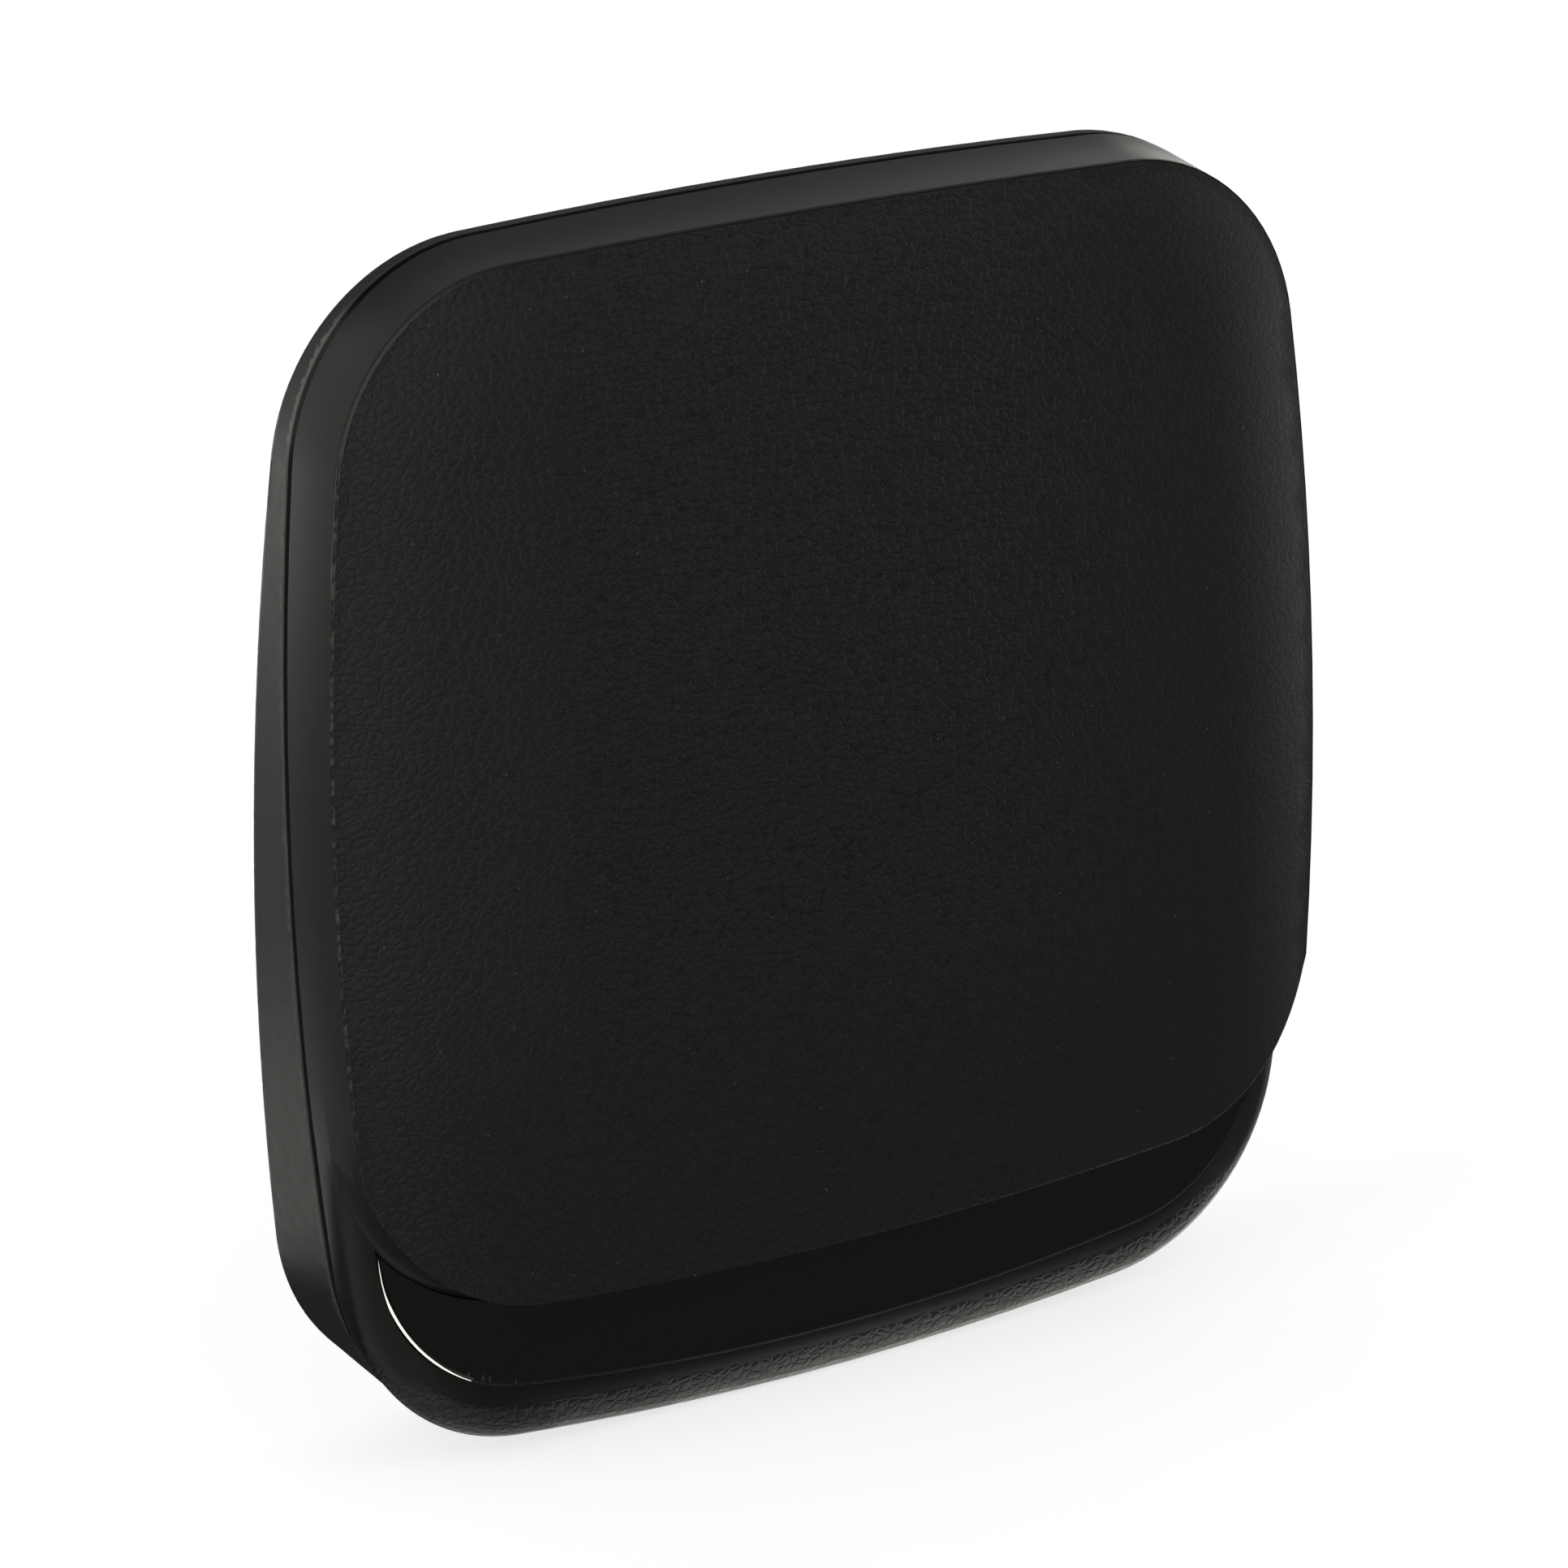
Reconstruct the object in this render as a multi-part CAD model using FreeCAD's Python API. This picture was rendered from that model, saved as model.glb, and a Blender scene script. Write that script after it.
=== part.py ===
import FreeCAD
import Part
import math
import os

V = FreeCAD.Vector

# Stance. The body is drawn upright, then leans back until its rear face is plumb.
lean_deg = 5.5
stance_shift_y = -13.7
stance_shift_z = 106.2

# Edge of the front pad, at depth zero.
pad_half_width = 99.8
pad_top = 98.7
pad_full_bottom = -108.8
pad_side_r = 559.0
pad_top_r = 2300.0
pad_full_bottom_r = 700.0
pad_top_corner_r = 34.7
pad_full_corner_r = 34.5
pad_widest_z = 1.6

# Parting line between the two housings.
part_y = 13.2
part_flare = 0.8
part_rise = 3.8
part_tuck = 3.6
part_half_width = pad_half_width + part_flare
part_top = pad_top + part_rise
part_bottom = pad_full_bottom + part_tuck
part_side_r = 605.0
part_top_r = 1420.0
part_bottom_r = 650.0
part_top_corner_r = 37.0
part_bottom_corner_r = 41.5

# Crown of the pad: how far each ring lies inside the edge, and how far it stands forward.
crown_ledge = 0.45
crown_rise = 3.6
crown_width = 25.0
crown_rings = 5
crown_power = 2.3

# Lower edge of the pad, where it overhangs the chin.
overhang_flare = 0.8
overhang_height = 31.6
overhang_half_width = pad_half_width + overhang_flare
overhang_bottom = pad_full_bottom + overhang_height
overhang_bottom_r = 800.0
overhang_corner_r = 37.5

# Chin under the pad.
chin_y = 8.4
chin_rise = 13.8
chin_z = pad_full_bottom + chin_rise
chin_slope = -0.085
chin_top_z = -22.0
chin_skin = 0.03
lip_flare = 0.6
lip_tuck = 3.1
lip_half_width = pad_half_width + lip_flare
lip_bottom = pad_full_bottom + lip_tuck
lip_corner_r = 37.5
lip_round_r = 3.4
lip_rings = 4
lip_room_rise = 12.0
valley_height = 2.6
valley_rings = 3
valley_land = 0.2

# Inlaid gloss plate on the chin.
plate_inset = 4.5
plate_rise = 12.6
plate_half_width = pad_half_width - plate_inset
plate_bottom = pad_full_bottom + plate_rise
plate_side_r = 600.0
plate_bottom_r = 480.0
plate_corner_r = 32.0
plate_y = 5.9
plate_thickness = 3.0
plate_bevel = 0.7
plate_upper_offset = 1.8
plate_gap = 0.2
film_thickness = 0.2
film_margin = 1.0

# Moulded walls and the lap joint between the housings.
wall = 2.3
floor_edge_y = 1.6
floor_y = -1.3
floor_inset = 15.0
groove_width = 1.6
lap_depth = 2.0
lap_clearance = 0.2
tongue_thickness = 1.0
tongue_setback = 0.4

# Rear housing.
rear_y = 26.9
rear_reach_y = 42.0
rear_inset = 1.7
rear_rise = 2.9
rear_tuck = 11.2
rear_half_width = pad_half_width - rear_inset
rear_top = pad_top + rear_rise
rear_bottom = pad_full_bottom + rear_tuck
rear_side_r = 600.0
rear_top_r = 1400.0
rear_bottom_r = 700.0
rear_top_corner_r = 33.2
rear_bottom_corner_r = 33.5
rear_setback = 0.1
rear_lead_in = 0.25
rear_edge_r = 2.2

# Screws that hold the housings together.
case_screw_inset = 20.8
case_screw_x = pad_half_width - case_screw_inset
case_screw_high_z = 70.0
case_screw_low_z = -50.0
case_boss_r = 4.2
case_boss_end_y = 15.6
case_seat_thickness = 1.8
case_tube_r = 4.9
case_screw_r = 1.45
case_screw_length = 13.0
case_head_r = 2.9
case_head_height = 2.0
case_counterbore_r = 3.4
screw_clearance = 0.08
pass_clearance = 0.25

# Stamped receiving elements.
element_y = 5.0
element_thickness = 0.5
element_inner_x = 6.0
element_outer_x = 70.0
element_low_z = -16.0
element_high_z = 86.0
element_strip = 11.0
element_corner_r = 15.0
element_window_r = 6.0
element_tab_length = 14.0
element_post_r = 3.1
element_post_drop = 24.0
element_post_low_z = 4.0
element_screw_r = 1.05
element_screw_length = 5.0
element_head_r = 2.1
element_head_height = 1.4

# Amplifier board, set parallel to the rear wall.
board_width = 62.0
board_height = 50.0
board_thickness = 1.6
board_low_z = 26.0
board_high_z = board_low_z + board_height
board_post_length = 5.2
board_post_r = 3.0
board_screw_margin = 4.5
board_screw_r = 1.1
board_screw_length = 5.5
board_head_r = 2.2
board_head_height = 1.5

# Parts soldered to the board.
shield_width = 34.0
shield_height = 26.0
shield_depth = 7.0
shield_sheet = 0.4
shield_rise = 5.0
shield_low_z = board_low_z + shield_rise
lid_skirt = 2.6
lid_clearance = 0.1
balun_width = 8.0
balun_height = 6.0
balun_depth = 5.0
balun_hole_r = 1.0
balun_drop = 10.0
balun_z = board_high_z - balun_drop
capacitor_r = 2.6
capacitor_height = 7.0
capacitor_x = 22.0
capacitor_drop = 16.0
capacitor_z = board_high_z - capacitor_drop
choke_r = 3.2
choke_waist_r = 2.1
choke_height = 5.4
choke_flange = 1.1
choke_x = -22.0
choke_drop = 16.0
choke_z = board_high_z - choke_drop

# Threaded coaxial outlet in the rear wall.
socket_z = 42.0
socket_thread_r = 4.7625
socket_neck_r = 4.3
socket_free_length = 8.0
socket_shoulder_r = 6.6
socket_shoulder_depth = 2.6
socket_bore_r = 3.2
socket_mouth_depth = 0.6
socket_fit = 0.03
contact_r = 0.9
contact_mouth_r = 0.45
contact_mouth_depth = 6.0
contact_tail_r = 0.6
contact_tail_length = 3.2
washer_r = 7.2
washer_thickness = 0.7
nut_across_flats = 12.7
nut_height = 2.6
nut_clearance = 0.05
panel_clearance = 0.3

# Rubber feet, set in moulded pads under the rear housing.
foot_r = 3.6
foot_height = 3.0
foot_recess = 0.8
foot_gap = 0.15
foot_edge_r = 0.5
foot_pad_r = 4.6
foot_pad_height = 9.0
foot_x = 46.0
foot_front_y = -3.6
foot_rear_y = 7.8

# Insulated leads from the elements to the board.
lead_r = 0.8
lead_x = 11.0
lead_drop = 3.0
lead_board_z = board_high_z - lead_drop
lead_gap = 0.02
lead_tab_inset = 4.0
lead_straight = 4.5
lead_bend_r = 2.0

slope_of_lean = math.tan(math.radians(lean_deg))
reach = 400.0


def circle_meet(c1, r1, c2, r2, high):
    """Right-hand meeting point of two circles, the upper or the lower one."""
    dx = c2[0] - c1[0]
    dz = c2[1] - c1[1]
    d = math.hypot(dx, dz)
    a = (r1 * r1 - r2 * r2 + d * d) / (2 * d)
    h = math.sqrt(r1 * r1 - a * a)
    mx = c1[0] + a * dx / d
    mz = c1[1] + a * dz / d
    found = [(mx - h * dz / d, mz + h * dx / d), (mx + h * dz / d, mz - h * dx / d)]
    found = [p for p in found if p[0] > 0]
    found.sort(key=lambda p: p[1])
    return found[-1] if high else found[0]


def along(origin, through, length):
    """Point at a given length from origin, in the direction of another point."""
    dx = through[0] - origin[0]
    dz = through[1] - origin[1]
    d = math.hypot(dx, dz)
    return (origin[0] + dx / d * length, origin[1] + dz / d * length)


class Outline:
    """Rounded square with bowed sides, made of eight tangent arcs in the X-Z plane."""

    def __init__(self, half_width, top, bottom, side_r, top_r, bottom_r, top_corner_r, bottom_corner_r):
        self.half_width = half_width
        self.top = top
        self.bottom = bottom
        self.side_r = side_r
        self.top_r = top_r
        self.bottom_r = bottom_r
        self.top_corner_r = top_corner_r
        self.bottom_corner_r = bottom_corner_r

    def inset(self, t):
        """The parallel outline, t further in."""
        return Outline(self.half_width - t, self.top - t, self.bottom + t, self.side_r - t,
                       self.top_r - t, self.bottom_r - t, self.top_corner_r - t, self.bottom_corner_r - t)

    def corner(self, end_z, end_r, corner_r, high):
        """Side tangent point, middle and end tangent point of one right-hand corner arc."""
        side = (self.half_width - self.side_r, pad_widest_z)
        end = (0.0, end_z - end_r if high else end_z + end_r)
        centre = circle_meet(side, self.side_r - corner_r, end, end_r - corner_r, high)
        at_side = along(side, centre, self.side_r)
        at_end = along(end, centre, end_r)
        chord = ((at_side[0] + at_end[0]) / 2, (at_side[1] + at_end[1]) / 2)
        return at_side, along(centre, chord, corner_r), at_end

    def wire(self, y):
        """The closed wire at one depth."""
        s1, m1, t1 = self.corner(self.top, self.top_r, self.top_corner_r, True)
        s2, m2, t2 = self.corner(self.bottom, self.bottom_r, self.bottom_corner_r, False)
        right = (self.half_width, pad_widest_z)

        def p(q, sign=1):
            return V(sign * q[0], y, q[1])

        arcs = [
            (p(t1, -1), V(0, y, self.top), p(t1)),
            (p(t1), p(m1), p(s1)),
            (p(s1), p(right), p(s2)),
            (p(s2), p(m2), p(t2)),
            (p(t2), V(0, y, self.bottom), p(t2, -1)),
            (p(t2, -1), p(m2, -1), p(s2, -1)),
            (p(s2, -1), p(right, -1), p(s1, -1)),
            (p(s1, -1), p(m1, -1), p(t1, -1)),
        ]
        return Part.Wire([Part.Arc(*a).toShape() for a in arcs])


def loft(wires, ruled=True):
    """Solid through a row of wires."""
    return Part.makeLoft(wires, True, ruled)


def prism(outline, y1, y2):
    """Straight block with the given outline."""
    return Part.Face(outline.wire(y1)).extrude(V(0, y2 - y1, 0))


def slab_side(y, z, slope, behind):
    """All space behind, or in front of, a plane through (y, z) that recedes by slope."""
    start = 0.0 if behind else -reach
    box = Part.makeBox(2 * reach, reach, 2 * reach, V(-reach, start, -reach))
    box.rotate(V(0, 0, 0), V(1, 0, 0), -math.degrees(math.atan(slope)))
    box.translate(V(0, y, z))
    return box


def rod(x, z, r, y1, y2):
    """Round bar along Y."""
    return Part.makeCylinder(r, y2 - y1, V(x, y1, z), V(0, 1, 0))


def block(x1, x2, y1, y2, z1, z2):
    """Plain block between two corners."""
    return Part.makeBox(x2 - x1, y2 - y1, z2 - z1, V(x1, y1, z1))


def stand(shape):
    """Lean a shape back and set it on the table."""
    placed = shape.copy()
    placed.rotate(V(0, 0, 0), V(1, 0, 0), -lean_deg)
    placed.translate(V(0, stance_shift_y, stance_shift_z))
    return placed


def stand_point(x, y, z):
    """Where a point of the upright body ends up."""
    c = math.cos(math.radians(lean_deg))
    s = math.sin(math.radians(lean_deg))
    return V(x, y * c + z * s + stance_shift_y, -y * s + z * c + stance_shift_z)


def joined(first, others):
    """One solid from several that touch or overlap."""
    return first.fuse(others).removeSplitter()


pad = Outline(pad_half_width, pad_top, pad_full_bottom, pad_side_r, pad_top_r, pad_full_bottom_r,
              pad_top_corner_r, pad_full_corner_r)
parting = Outline(part_half_width, part_top, part_bottom, part_side_r, part_top_r, part_bottom_r,
                  part_top_corner_r, part_bottom_corner_r)
overhang = Outline(overhang_half_width, pad_top, overhang_bottom, pad_side_r, pad_top_r, overhang_bottom_r,
                   pad_top_corner_r, overhang_corner_r)
lip_line = Outline(lip_half_width, part_top, lip_bottom, part_side_r, part_top_r, part_bottom_r,
                   part_top_corner_r, lip_corner_r)
plate_line = Outline(plate_half_width, pad_top, plate_bottom, plate_side_r, pad_top_r, plate_bottom_r,
                     pad_top_corner_r, plate_corner_r)
rear_line = Outline(rear_half_width, rear_top, rear_bottom, rear_side_r, rear_top_r, rear_bottom_r,
                    rear_top_corner_r, rear_bottom_corner_r)


def below_overhang(offset):
    """All space under the pad's lower edge, starting offset further out."""
    field = block(-reach, reach, -reach / 8, reach / 8, -reach, chin_top_z + 2)
    return field.cut(prism(overhang.inset(-offset), -reach / 4, reach / 4))


def ring_height(inset):
    """How far the crowned face stands forward at a distance inside its edge."""
    run = (inset - crown_ledge) / (crown_width - crown_ledge)
    return crown_rise * (1 - (1 - run) ** crown_power)


def front_shell():
    """Outer form of the front housing: crowned pad, side band, chin and rounded lip."""
    step = (crown_width - crown_ledge) / (crown_rings - 1)
    insets = [crown_ledge + step * i for i in range(crown_rings)]
    crown = loft([pad.inset(s).wire(-ring_height(s)) for s in insets], ruled=False)
    band = loft([pad.wire(0), parting.wire(part_y)])
    upper = band.fuse(crown).cut(below_overhang(0))
    chin = loft([pad.inset(chin_skin).wire(0), parting.inset(chin_skin).wire(part_y)])
    chin = chin.common(block(-reach, reach, -reach, reach, -reach, chin_top_z))
    flare = chin.common(valley_flare())
    chin = chin.common(lip_envelope()).cut(plate_pocket())
    return joined(upper, [chin, flare])


def to_chin(shape):
    """Set a shape, drawn with the chin's front plane at depth zero, on the sloping chin."""
    shape.rotate(V(0, 0, chin_z), V(1, 0, 0), -math.degrees(math.atan(chin_slope)))
    shape.translate(V(0, chin_y, 0))
    return shape.common(block(-reach, reach, -reach, reach, -reach, chin_top_z))


def quarter_turn(steps):
    """Sine and cosine at even steps over a quarter of a circle."""
    turns = [math.pi / 2 * i / steps for i in range(steps + 1)]
    return [(math.sin(t), math.cos(t)) for t in turns]


def lip_envelope():
    """Space inside the chin's front plane and its rounded rim."""
    rings = [lip_line.inset(lip_round_r * (1 - s)).wire(lip_round_r * (1 - c)) for s, c in quarter_turn(lip_rings)]
    rings.append(lip_line.wire(reach / 8))
    return to_chin(loft(rings))


def valley_flare():
    """Hollow-sided foot that blends the pad's underside into the chin."""
    spread = plate_upper_offset - plate_gap - valley_land
    rings = [overhang.inset(0.1).wire(-1.1 * valley_height)]
    for s, c in quarter_turn(valley_rings):
        rings.append(overhang.inset(-spread * (1 - c)).wire(-valley_height * (1 - s)))
    rings.append(overhang.inset(-spread).wire(0.4))
    return to_chin(loft(rings))


def crescent(column, growth):
    """The part of a column that lies on the chin, its upper edge moved out by growth."""
    return column.common(below_overhang(plate_upper_offset - growth))


def plate_pocket():
    """Pocket in the chin for the plate and its film."""
    return crescent(prism(plate_line.inset(-plate_gap), -reach / 8, pocket_floor_y), plate_gap)


def front_hollow():
    """Space inside the front housing."""
    pad_room = loft([parting.inset(wall).wire(part_y + 1), pad.inset(wall).wire(floor_edge_y),
                     pad.inset(floor_inset).wire(floor_y)])
    pad_room = pad_room.cut(below_overhang(-wall))
    lip_room = loft([parting.inset(wall).wire(part_y + 1), pad.inset(wall).wire(floor_edge_y)])
    lip_room = lip_room.common(block(-reach, reach, pocket_floor_y + wall, reach, -reach,
                                     overhang_bottom + lip_room_rise))
    return [pad_room, lip_room]


band_end_y = part_y - groove_width
plate_back_y = plate_y + plate_thickness
pocket_floor_y = plate_back_y + film_thickness
case_screw_places = [(case_screw_x, case_screw_high_z), (-case_screw_x, case_screw_high_z),
                     (case_screw_x, case_screw_low_z), (-case_screw_x, case_screw_low_z)]
case_head_y = case_boss_end_y + case_seat_thickness
case_tip_y = case_head_y - case_screw_length

element_mid = element_strip / 2
element_post_high_z = element_high_z - element_post_drop
element_posts = [(element_outer_x - element_mid, element_post_high_z),
                 (element_outer_x - element_mid, element_post_low_z),
                 (element_inner_x + element_mid, element_post_high_z)]
element_post_places = [(side * x, z) for side in (1, -1) for x, z in element_posts]
element_tip_y = element_y + element_thickness - element_screw_length

rear_face = rear_y * math.cos(math.radians(lean_deg)) + stance_shift_y
rear_inner = rear_face - wall
board_back = rear_inner - board_post_length
board_front = board_back - board_thickness
board_screw_x = board_width / 2 - board_screw_margin
board_screw_places = [(side * board_screw_x, z) for side in (1, -1)
                      for z in (board_low_z + board_screw_margin, board_high_z - board_screw_margin)]
foot_places = [(side * foot_x, y) for side in (1, -1) for y in (foot_front_y, foot_rear_y)]


def make_front_housing():
    """Front housing with its screw bosses and element posts."""
    shell = front_shell()
    for room in front_hollow():
        shell = shell.cut(room)
    shell = shell.common(block(-reach, reach, -reach, band_end_y, -reach, reach))
    root_y = floor_y - 0.4
    bosses = [rod(x, z, case_boss_r, root_y, case_boss_end_y) for x, z in case_screw_places]
    posts = [rod(x, z, element_post_r, root_y, element_y) for x, z in element_post_places]
    shell = joined(shell, bosses + posts)
    pilot_r = case_screw_r + screw_clearance
    for x, z in case_screw_places:
        shell = shell.cut(rod(x, z, pilot_r, case_tip_y - 0.5, case_boss_end_y + 1))
    pilot_r = element_screw_r + screw_clearance
    for x, z in element_post_places:
        shell = shell.cut(rod(x, z, pilot_r, element_tip_y - 0.4, element_y + 1))
    return stand(shell)


def make_chin_plate():
    """Gloss crescent plate with a bevelled outer edge."""
    column = loft([plate_line.wire(plate_back_y), plate_line.wire(plate_y + plate_bevel),
                   plate_line.inset(plate_bevel).wire(plate_y)])
    return stand(crescent(column, 0))


def make_plate_film():
    """Adhesive film behind the plate."""
    column = prism(plate_line.inset(film_margin), plate_back_y, pocket_floor_y)
    return stand(crescent(column, -film_margin))


def make_rear_housing():
    """Rear housing with lap tongue, screw tubes, foot pads, board posts and outlet hole."""
    start = part_y
    edge = start + rear_lead_in
    shell = loft([parting.inset(rear_setback + rear_lead_in).wire(start), parting.inset(rear_setback).wire(edge),
                  rear_line.wire(rear_reach_y)])
    back = slab_side(rear_y, 0, -slope_of_lean, False)
    shell = shell.common(back)
    rim = [e for e in shell.Edges if on_rear(e)]
    shell = shell.makeFillet(rear_edge_r, rim)
    shell = stand(shell)
    pads = []
    for x, y in foot_places:
        pads.append(Part.makeCylinder(foot_pad_r, foot_pad_height, V(x, y, foot_height - foot_recess)))
    shell = joined(shell, pads)
    room = loft([parting.inset(rear_setback + wall).wire(part_y - 1),
                 rear_line.inset(wall).wire(rear_reach_y)])
    room = room.common(slab_side(rear_y - wall / math.cos(math.radians(lean_deg)), 0, -slope_of_lean, False))
    shell = shell.cut(stand(room))
    tubes = [rod(x, z, case_tube_r, case_boss_end_y, rear_reach_y).common(back) for x, z in case_screw_places]
    posts = [rod(x, z, board_post_r, board_back, rear_inner + 0.5) for x, z in board_screw_places]
    shell = joined(shell, [stand(s) for s in make_tongue() + tubes] + posts)
    for x, z in case_screw_places:
        deep = rod(x, z, case_counterbore_r, case_head_y, rear_reach_y)
        through = rod(x, z, case_screw_r + pass_clearance, case_boss_end_y - 1, case_head_y + 1)
        shell = shell.cut(stand(deep)).cut(stand(through))
    for x, y in foot_places:
        shell = shell.cut(Part.makeCylinder(foot_r + foot_gap, foot_height, V(x, y, 0)))
    for x, z in board_screw_places:
        depth = board_screw_length - board_thickness + 0.4
        shell = shell.cut(rod(x, z, board_screw_r + screw_clearance, board_back - 1, board_back + depth))
    return shell.cut(rod(0, socket_z, socket_thread_r + panel_clearance, rear_inner - 1, rear_face + 1))


def make_tongue():
    """Ring that reaches from the rear housing into the front one, behind the groove, and its root."""
    outer = wall + lap_clearance
    inner = outer + tongue_thickness
    end = part_y + wall
    ring = inner_column(outer, end).cut(inner_column(inner, end + 1))
    ring = ring.common(block(-reach, reach, band_end_y - lap_depth, reach, -reach, reach))
    chin_room = below_overhang(-wall - lap_clearance)
    chin_room = chin_room.common(block(-reach, reach, -reach, band_end_y + lap_clearance, -reach, reach))
    root = prism(parting.inset(wall / 2), part_y + tongue_setback, end)
    return [ring.cut(chin_room), root.cut(prism(parting.inset(inner), part_y - 1, end + 1))]


def inner_column(depth, end):
    """Column that follows the inside of the band at a depth, up to an end."""
    return loft([pad.inset(depth).wire(floor_edge_y), parting.inset(depth).wire(part_y + 1),
                 parting.inset(depth).wire(end)])


def on_rear(edge):
    """Whether an edge lies on the rear face."""
    return all(abs(p.y - rear_y + slope_of_lean * p.z) < 1e-3 for p in edge.discretize(5))


def rounded_plate(x1, x2, z1, z2, r, y1, y2):
    """Flat rectangular plate with rounded corners."""
    plate = block(x1, x2, y1, y2, z1, z2)
    return plate.makeFillet(r, [e for e in plate.Edges if abs(e.BoundBox.YLength - (y2 - y1)) < 1e-6])


def make_element(side):
    """Stamped loop element with its feed tab and screw holes."""
    back = element_y + element_thickness
    loop = rounded_plate(element_inner_x, element_outer_x, element_low_z, element_high_z,
                         element_corner_r, element_y, back)
    window = rounded_plate(element_inner_x + element_strip, element_outer_x - element_strip,
                           element_low_z + element_strip, element_high_z - element_strip,
                           element_window_r, element_y - 1, back + 1)
    tab = block(element_inner_x, element_inner_x + element_strip, element_y, back,
                element_low_z - element_tab_length, element_low_z + element_strip)
    loop = joined(loop.cut(window), [tab])
    for x, z in element_posts:
        loop = loop.cut(rod(x, z, element_screw_r + pass_clearance, element_y - 1, back + 1))
    if side < 0:
        loop = loop.mirror(V(0, 0, 0), V(1, 0, 0))
    return stand(loop)


def screw(x, z, seat_y, forward, shank_r, length, head_r, head_height):
    """Pan-head screw along Y, its head behind the seat or, when forward, in front of it."""
    s = -1 if forward else 1
    head = Part.makeCylinder(head_r, head_height, V(x, seat_y, z), V(0, s, 0))
    rim = [e for e in head.Edges if abs(e.CenterOfMass.y - seat_y - s * head_height) < 1e-6]
    head = head.makeFillet(head_height * 0.45, rim)
    shank = Part.makeCylinder(shank_r, length - shank_r, V(x, seat_y, z), V(0, -s, 0))
    point = Part.makeCone(shank_r, shank_r * 0.3, shank_r, V(x, seat_y - s * (length - shank_r), z), V(0, -s, 0))
    return joined(head, [shank, point])


def make_case_screws():
    """The screws that close the case."""
    made = [screw(x, z, case_head_y, False, case_screw_r, case_screw_length, case_head_r, case_head_height)
            for x, z in case_screw_places]
    return stand(Part.makeCompound(made))


def make_element_screws():
    """The screws that hold the elements."""
    seat = element_y + element_thickness
    made = [screw(x, z, seat, False, element_screw_r, element_screw_length, element_head_r,
                  element_head_height) for x, z in element_post_places]
    return stand(Part.makeCompound(made))


def make_board():
    """Circuit board with its screw holes, contact hole and lead holes."""
    board = rounded_plate(-board_width / 2, board_width / 2, board_low_z, board_high_z, 1.5,
                          board_front, board_back)
    for x, z in board_screw_places:
        board = board.cut(rod(x, z, board_screw_r + pass_clearance, board_front - 1, board_back + 1))
    return board.cut(rod(0, socket_z, contact_tail_r + pass_clearance, board_front - 1, board_back + 1))


def make_board_screws():
    """The screws that hold the board."""
    made = [screw(x, z, board_front, True, board_screw_r, board_screw_length, board_head_r, board_head_height)
            for x, z in board_screw_places]
    return Part.makeCompound(made)


def make_shield_frame():
    """Folded sheet wall around the amplifier stage."""
    front = board_front - shield_depth
    outer = block(-shield_width / 2, shield_width / 2, front, board_front,
                  shield_low_z, shield_low_z + shield_height)
    inner = block(-shield_width / 2 + shield_sheet, shield_width / 2 - shield_sheet, front - 1, board_front + 1,
                  shield_low_z + shield_sheet, shield_low_z + shield_height - shield_sheet)
    return outer.cut(inner)


def make_shield_lid():
    """Lid that clips over the shield wall."""
    front = board_front - shield_depth
    g = lid_clearance
    t = shield_sheet
    half = shield_width / 2 + g
    low = shield_low_z - g
    high = shield_low_z + shield_height + g
    outer = block(-half - t, half + t, front - t, front + lid_skirt, low - t, high + t)
    return outer.cut(block(-half, half, front, front + lid_skirt + 1, low, high))


def make_balun():
    """Ferrite core with two holes."""
    y1 = board_front - balun_depth
    core = block(-balun_width / 2, balun_width / 2, y1, board_front,
                 balun_z - balun_height / 2, balun_z + balun_height / 2)
    core = core.makeFillet(1.2, [e for e in core.Edges if abs(e.BoundBox.ZLength - balun_height) < 1e-6])
    for side in (1, -1):
        core = core.cut(Part.makeCylinder(balun_hole_r, balun_height + 2,
                                          V(side * balun_width / 4, y1 + balun_depth / 2,
                                            balun_z - balun_height / 2 - 1)))
    return core


def make_capacitor():
    """Electrolytic capacitor with a rolled waist near the board."""
    can = rod(capacitor_x, capacitor_z, capacitor_r, board_front - capacitor_height, board_front)
    waist = Part.makeTorus(capacitor_r + 0.25, 0.5, V(capacitor_x, board_front - 1.6, capacitor_z), V(0, 1, 0))
    return can.cut(waist)


def make_choke():
    """Drum-wound choke."""
    drum = rod(choke_x, choke_z, choke_waist_r + 0.6, board_front - choke_height, board_front)
    flanges = [rod(choke_x, choke_z, choke_r, board_front - choke_flange, board_front),
               rod(choke_x, choke_z, choke_r, board_front - choke_height,
                   board_front - choke_height + choke_flange)]
    return joined(drum, flanges)


washer_back = rear_face + washer_thickness
nut_back = washer_back + nut_height
thread_start = nut_back + 0.3
thread_end = thread_start + socket_free_length


def make_socket_body():
    """Threaded barrel with a shoulder that sits on the board."""
    shoulder = rod(0, socket_z, socket_shoulder_r, board_back, board_back + socket_shoulder_depth)
    neck = rod(0, socket_z, socket_neck_r, board_back, thread_start)
    thread = rod(0, socket_z, socket_thread_r, thread_start, thread_end)
    barrel = joined(shoulder, [neck, thread])
    return barrel.cut(rod(0, socket_z, socket_bore_r, board_back - 1, thread_end + 1))


def make_socket_insulator():
    """Plug of insulation inside the barrel, with a tapered mouth for the cable's core."""
    front = thread_end - socket_mouth_depth
    plug = rod(0, socket_z, socket_bore_r - socket_fit, board_back, front)
    plug = plug.cut(rod(0, socket_z, contact_r + socket_fit, board_back - 1, front - 1.5))
    mouth = Part.makeCone(contact_mouth_r, contact_mouth_r + 0.8, 1.6, V(0, front - 1.55, socket_z), V(0, 1, 0))
    return plug.cut(mouth)


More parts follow.
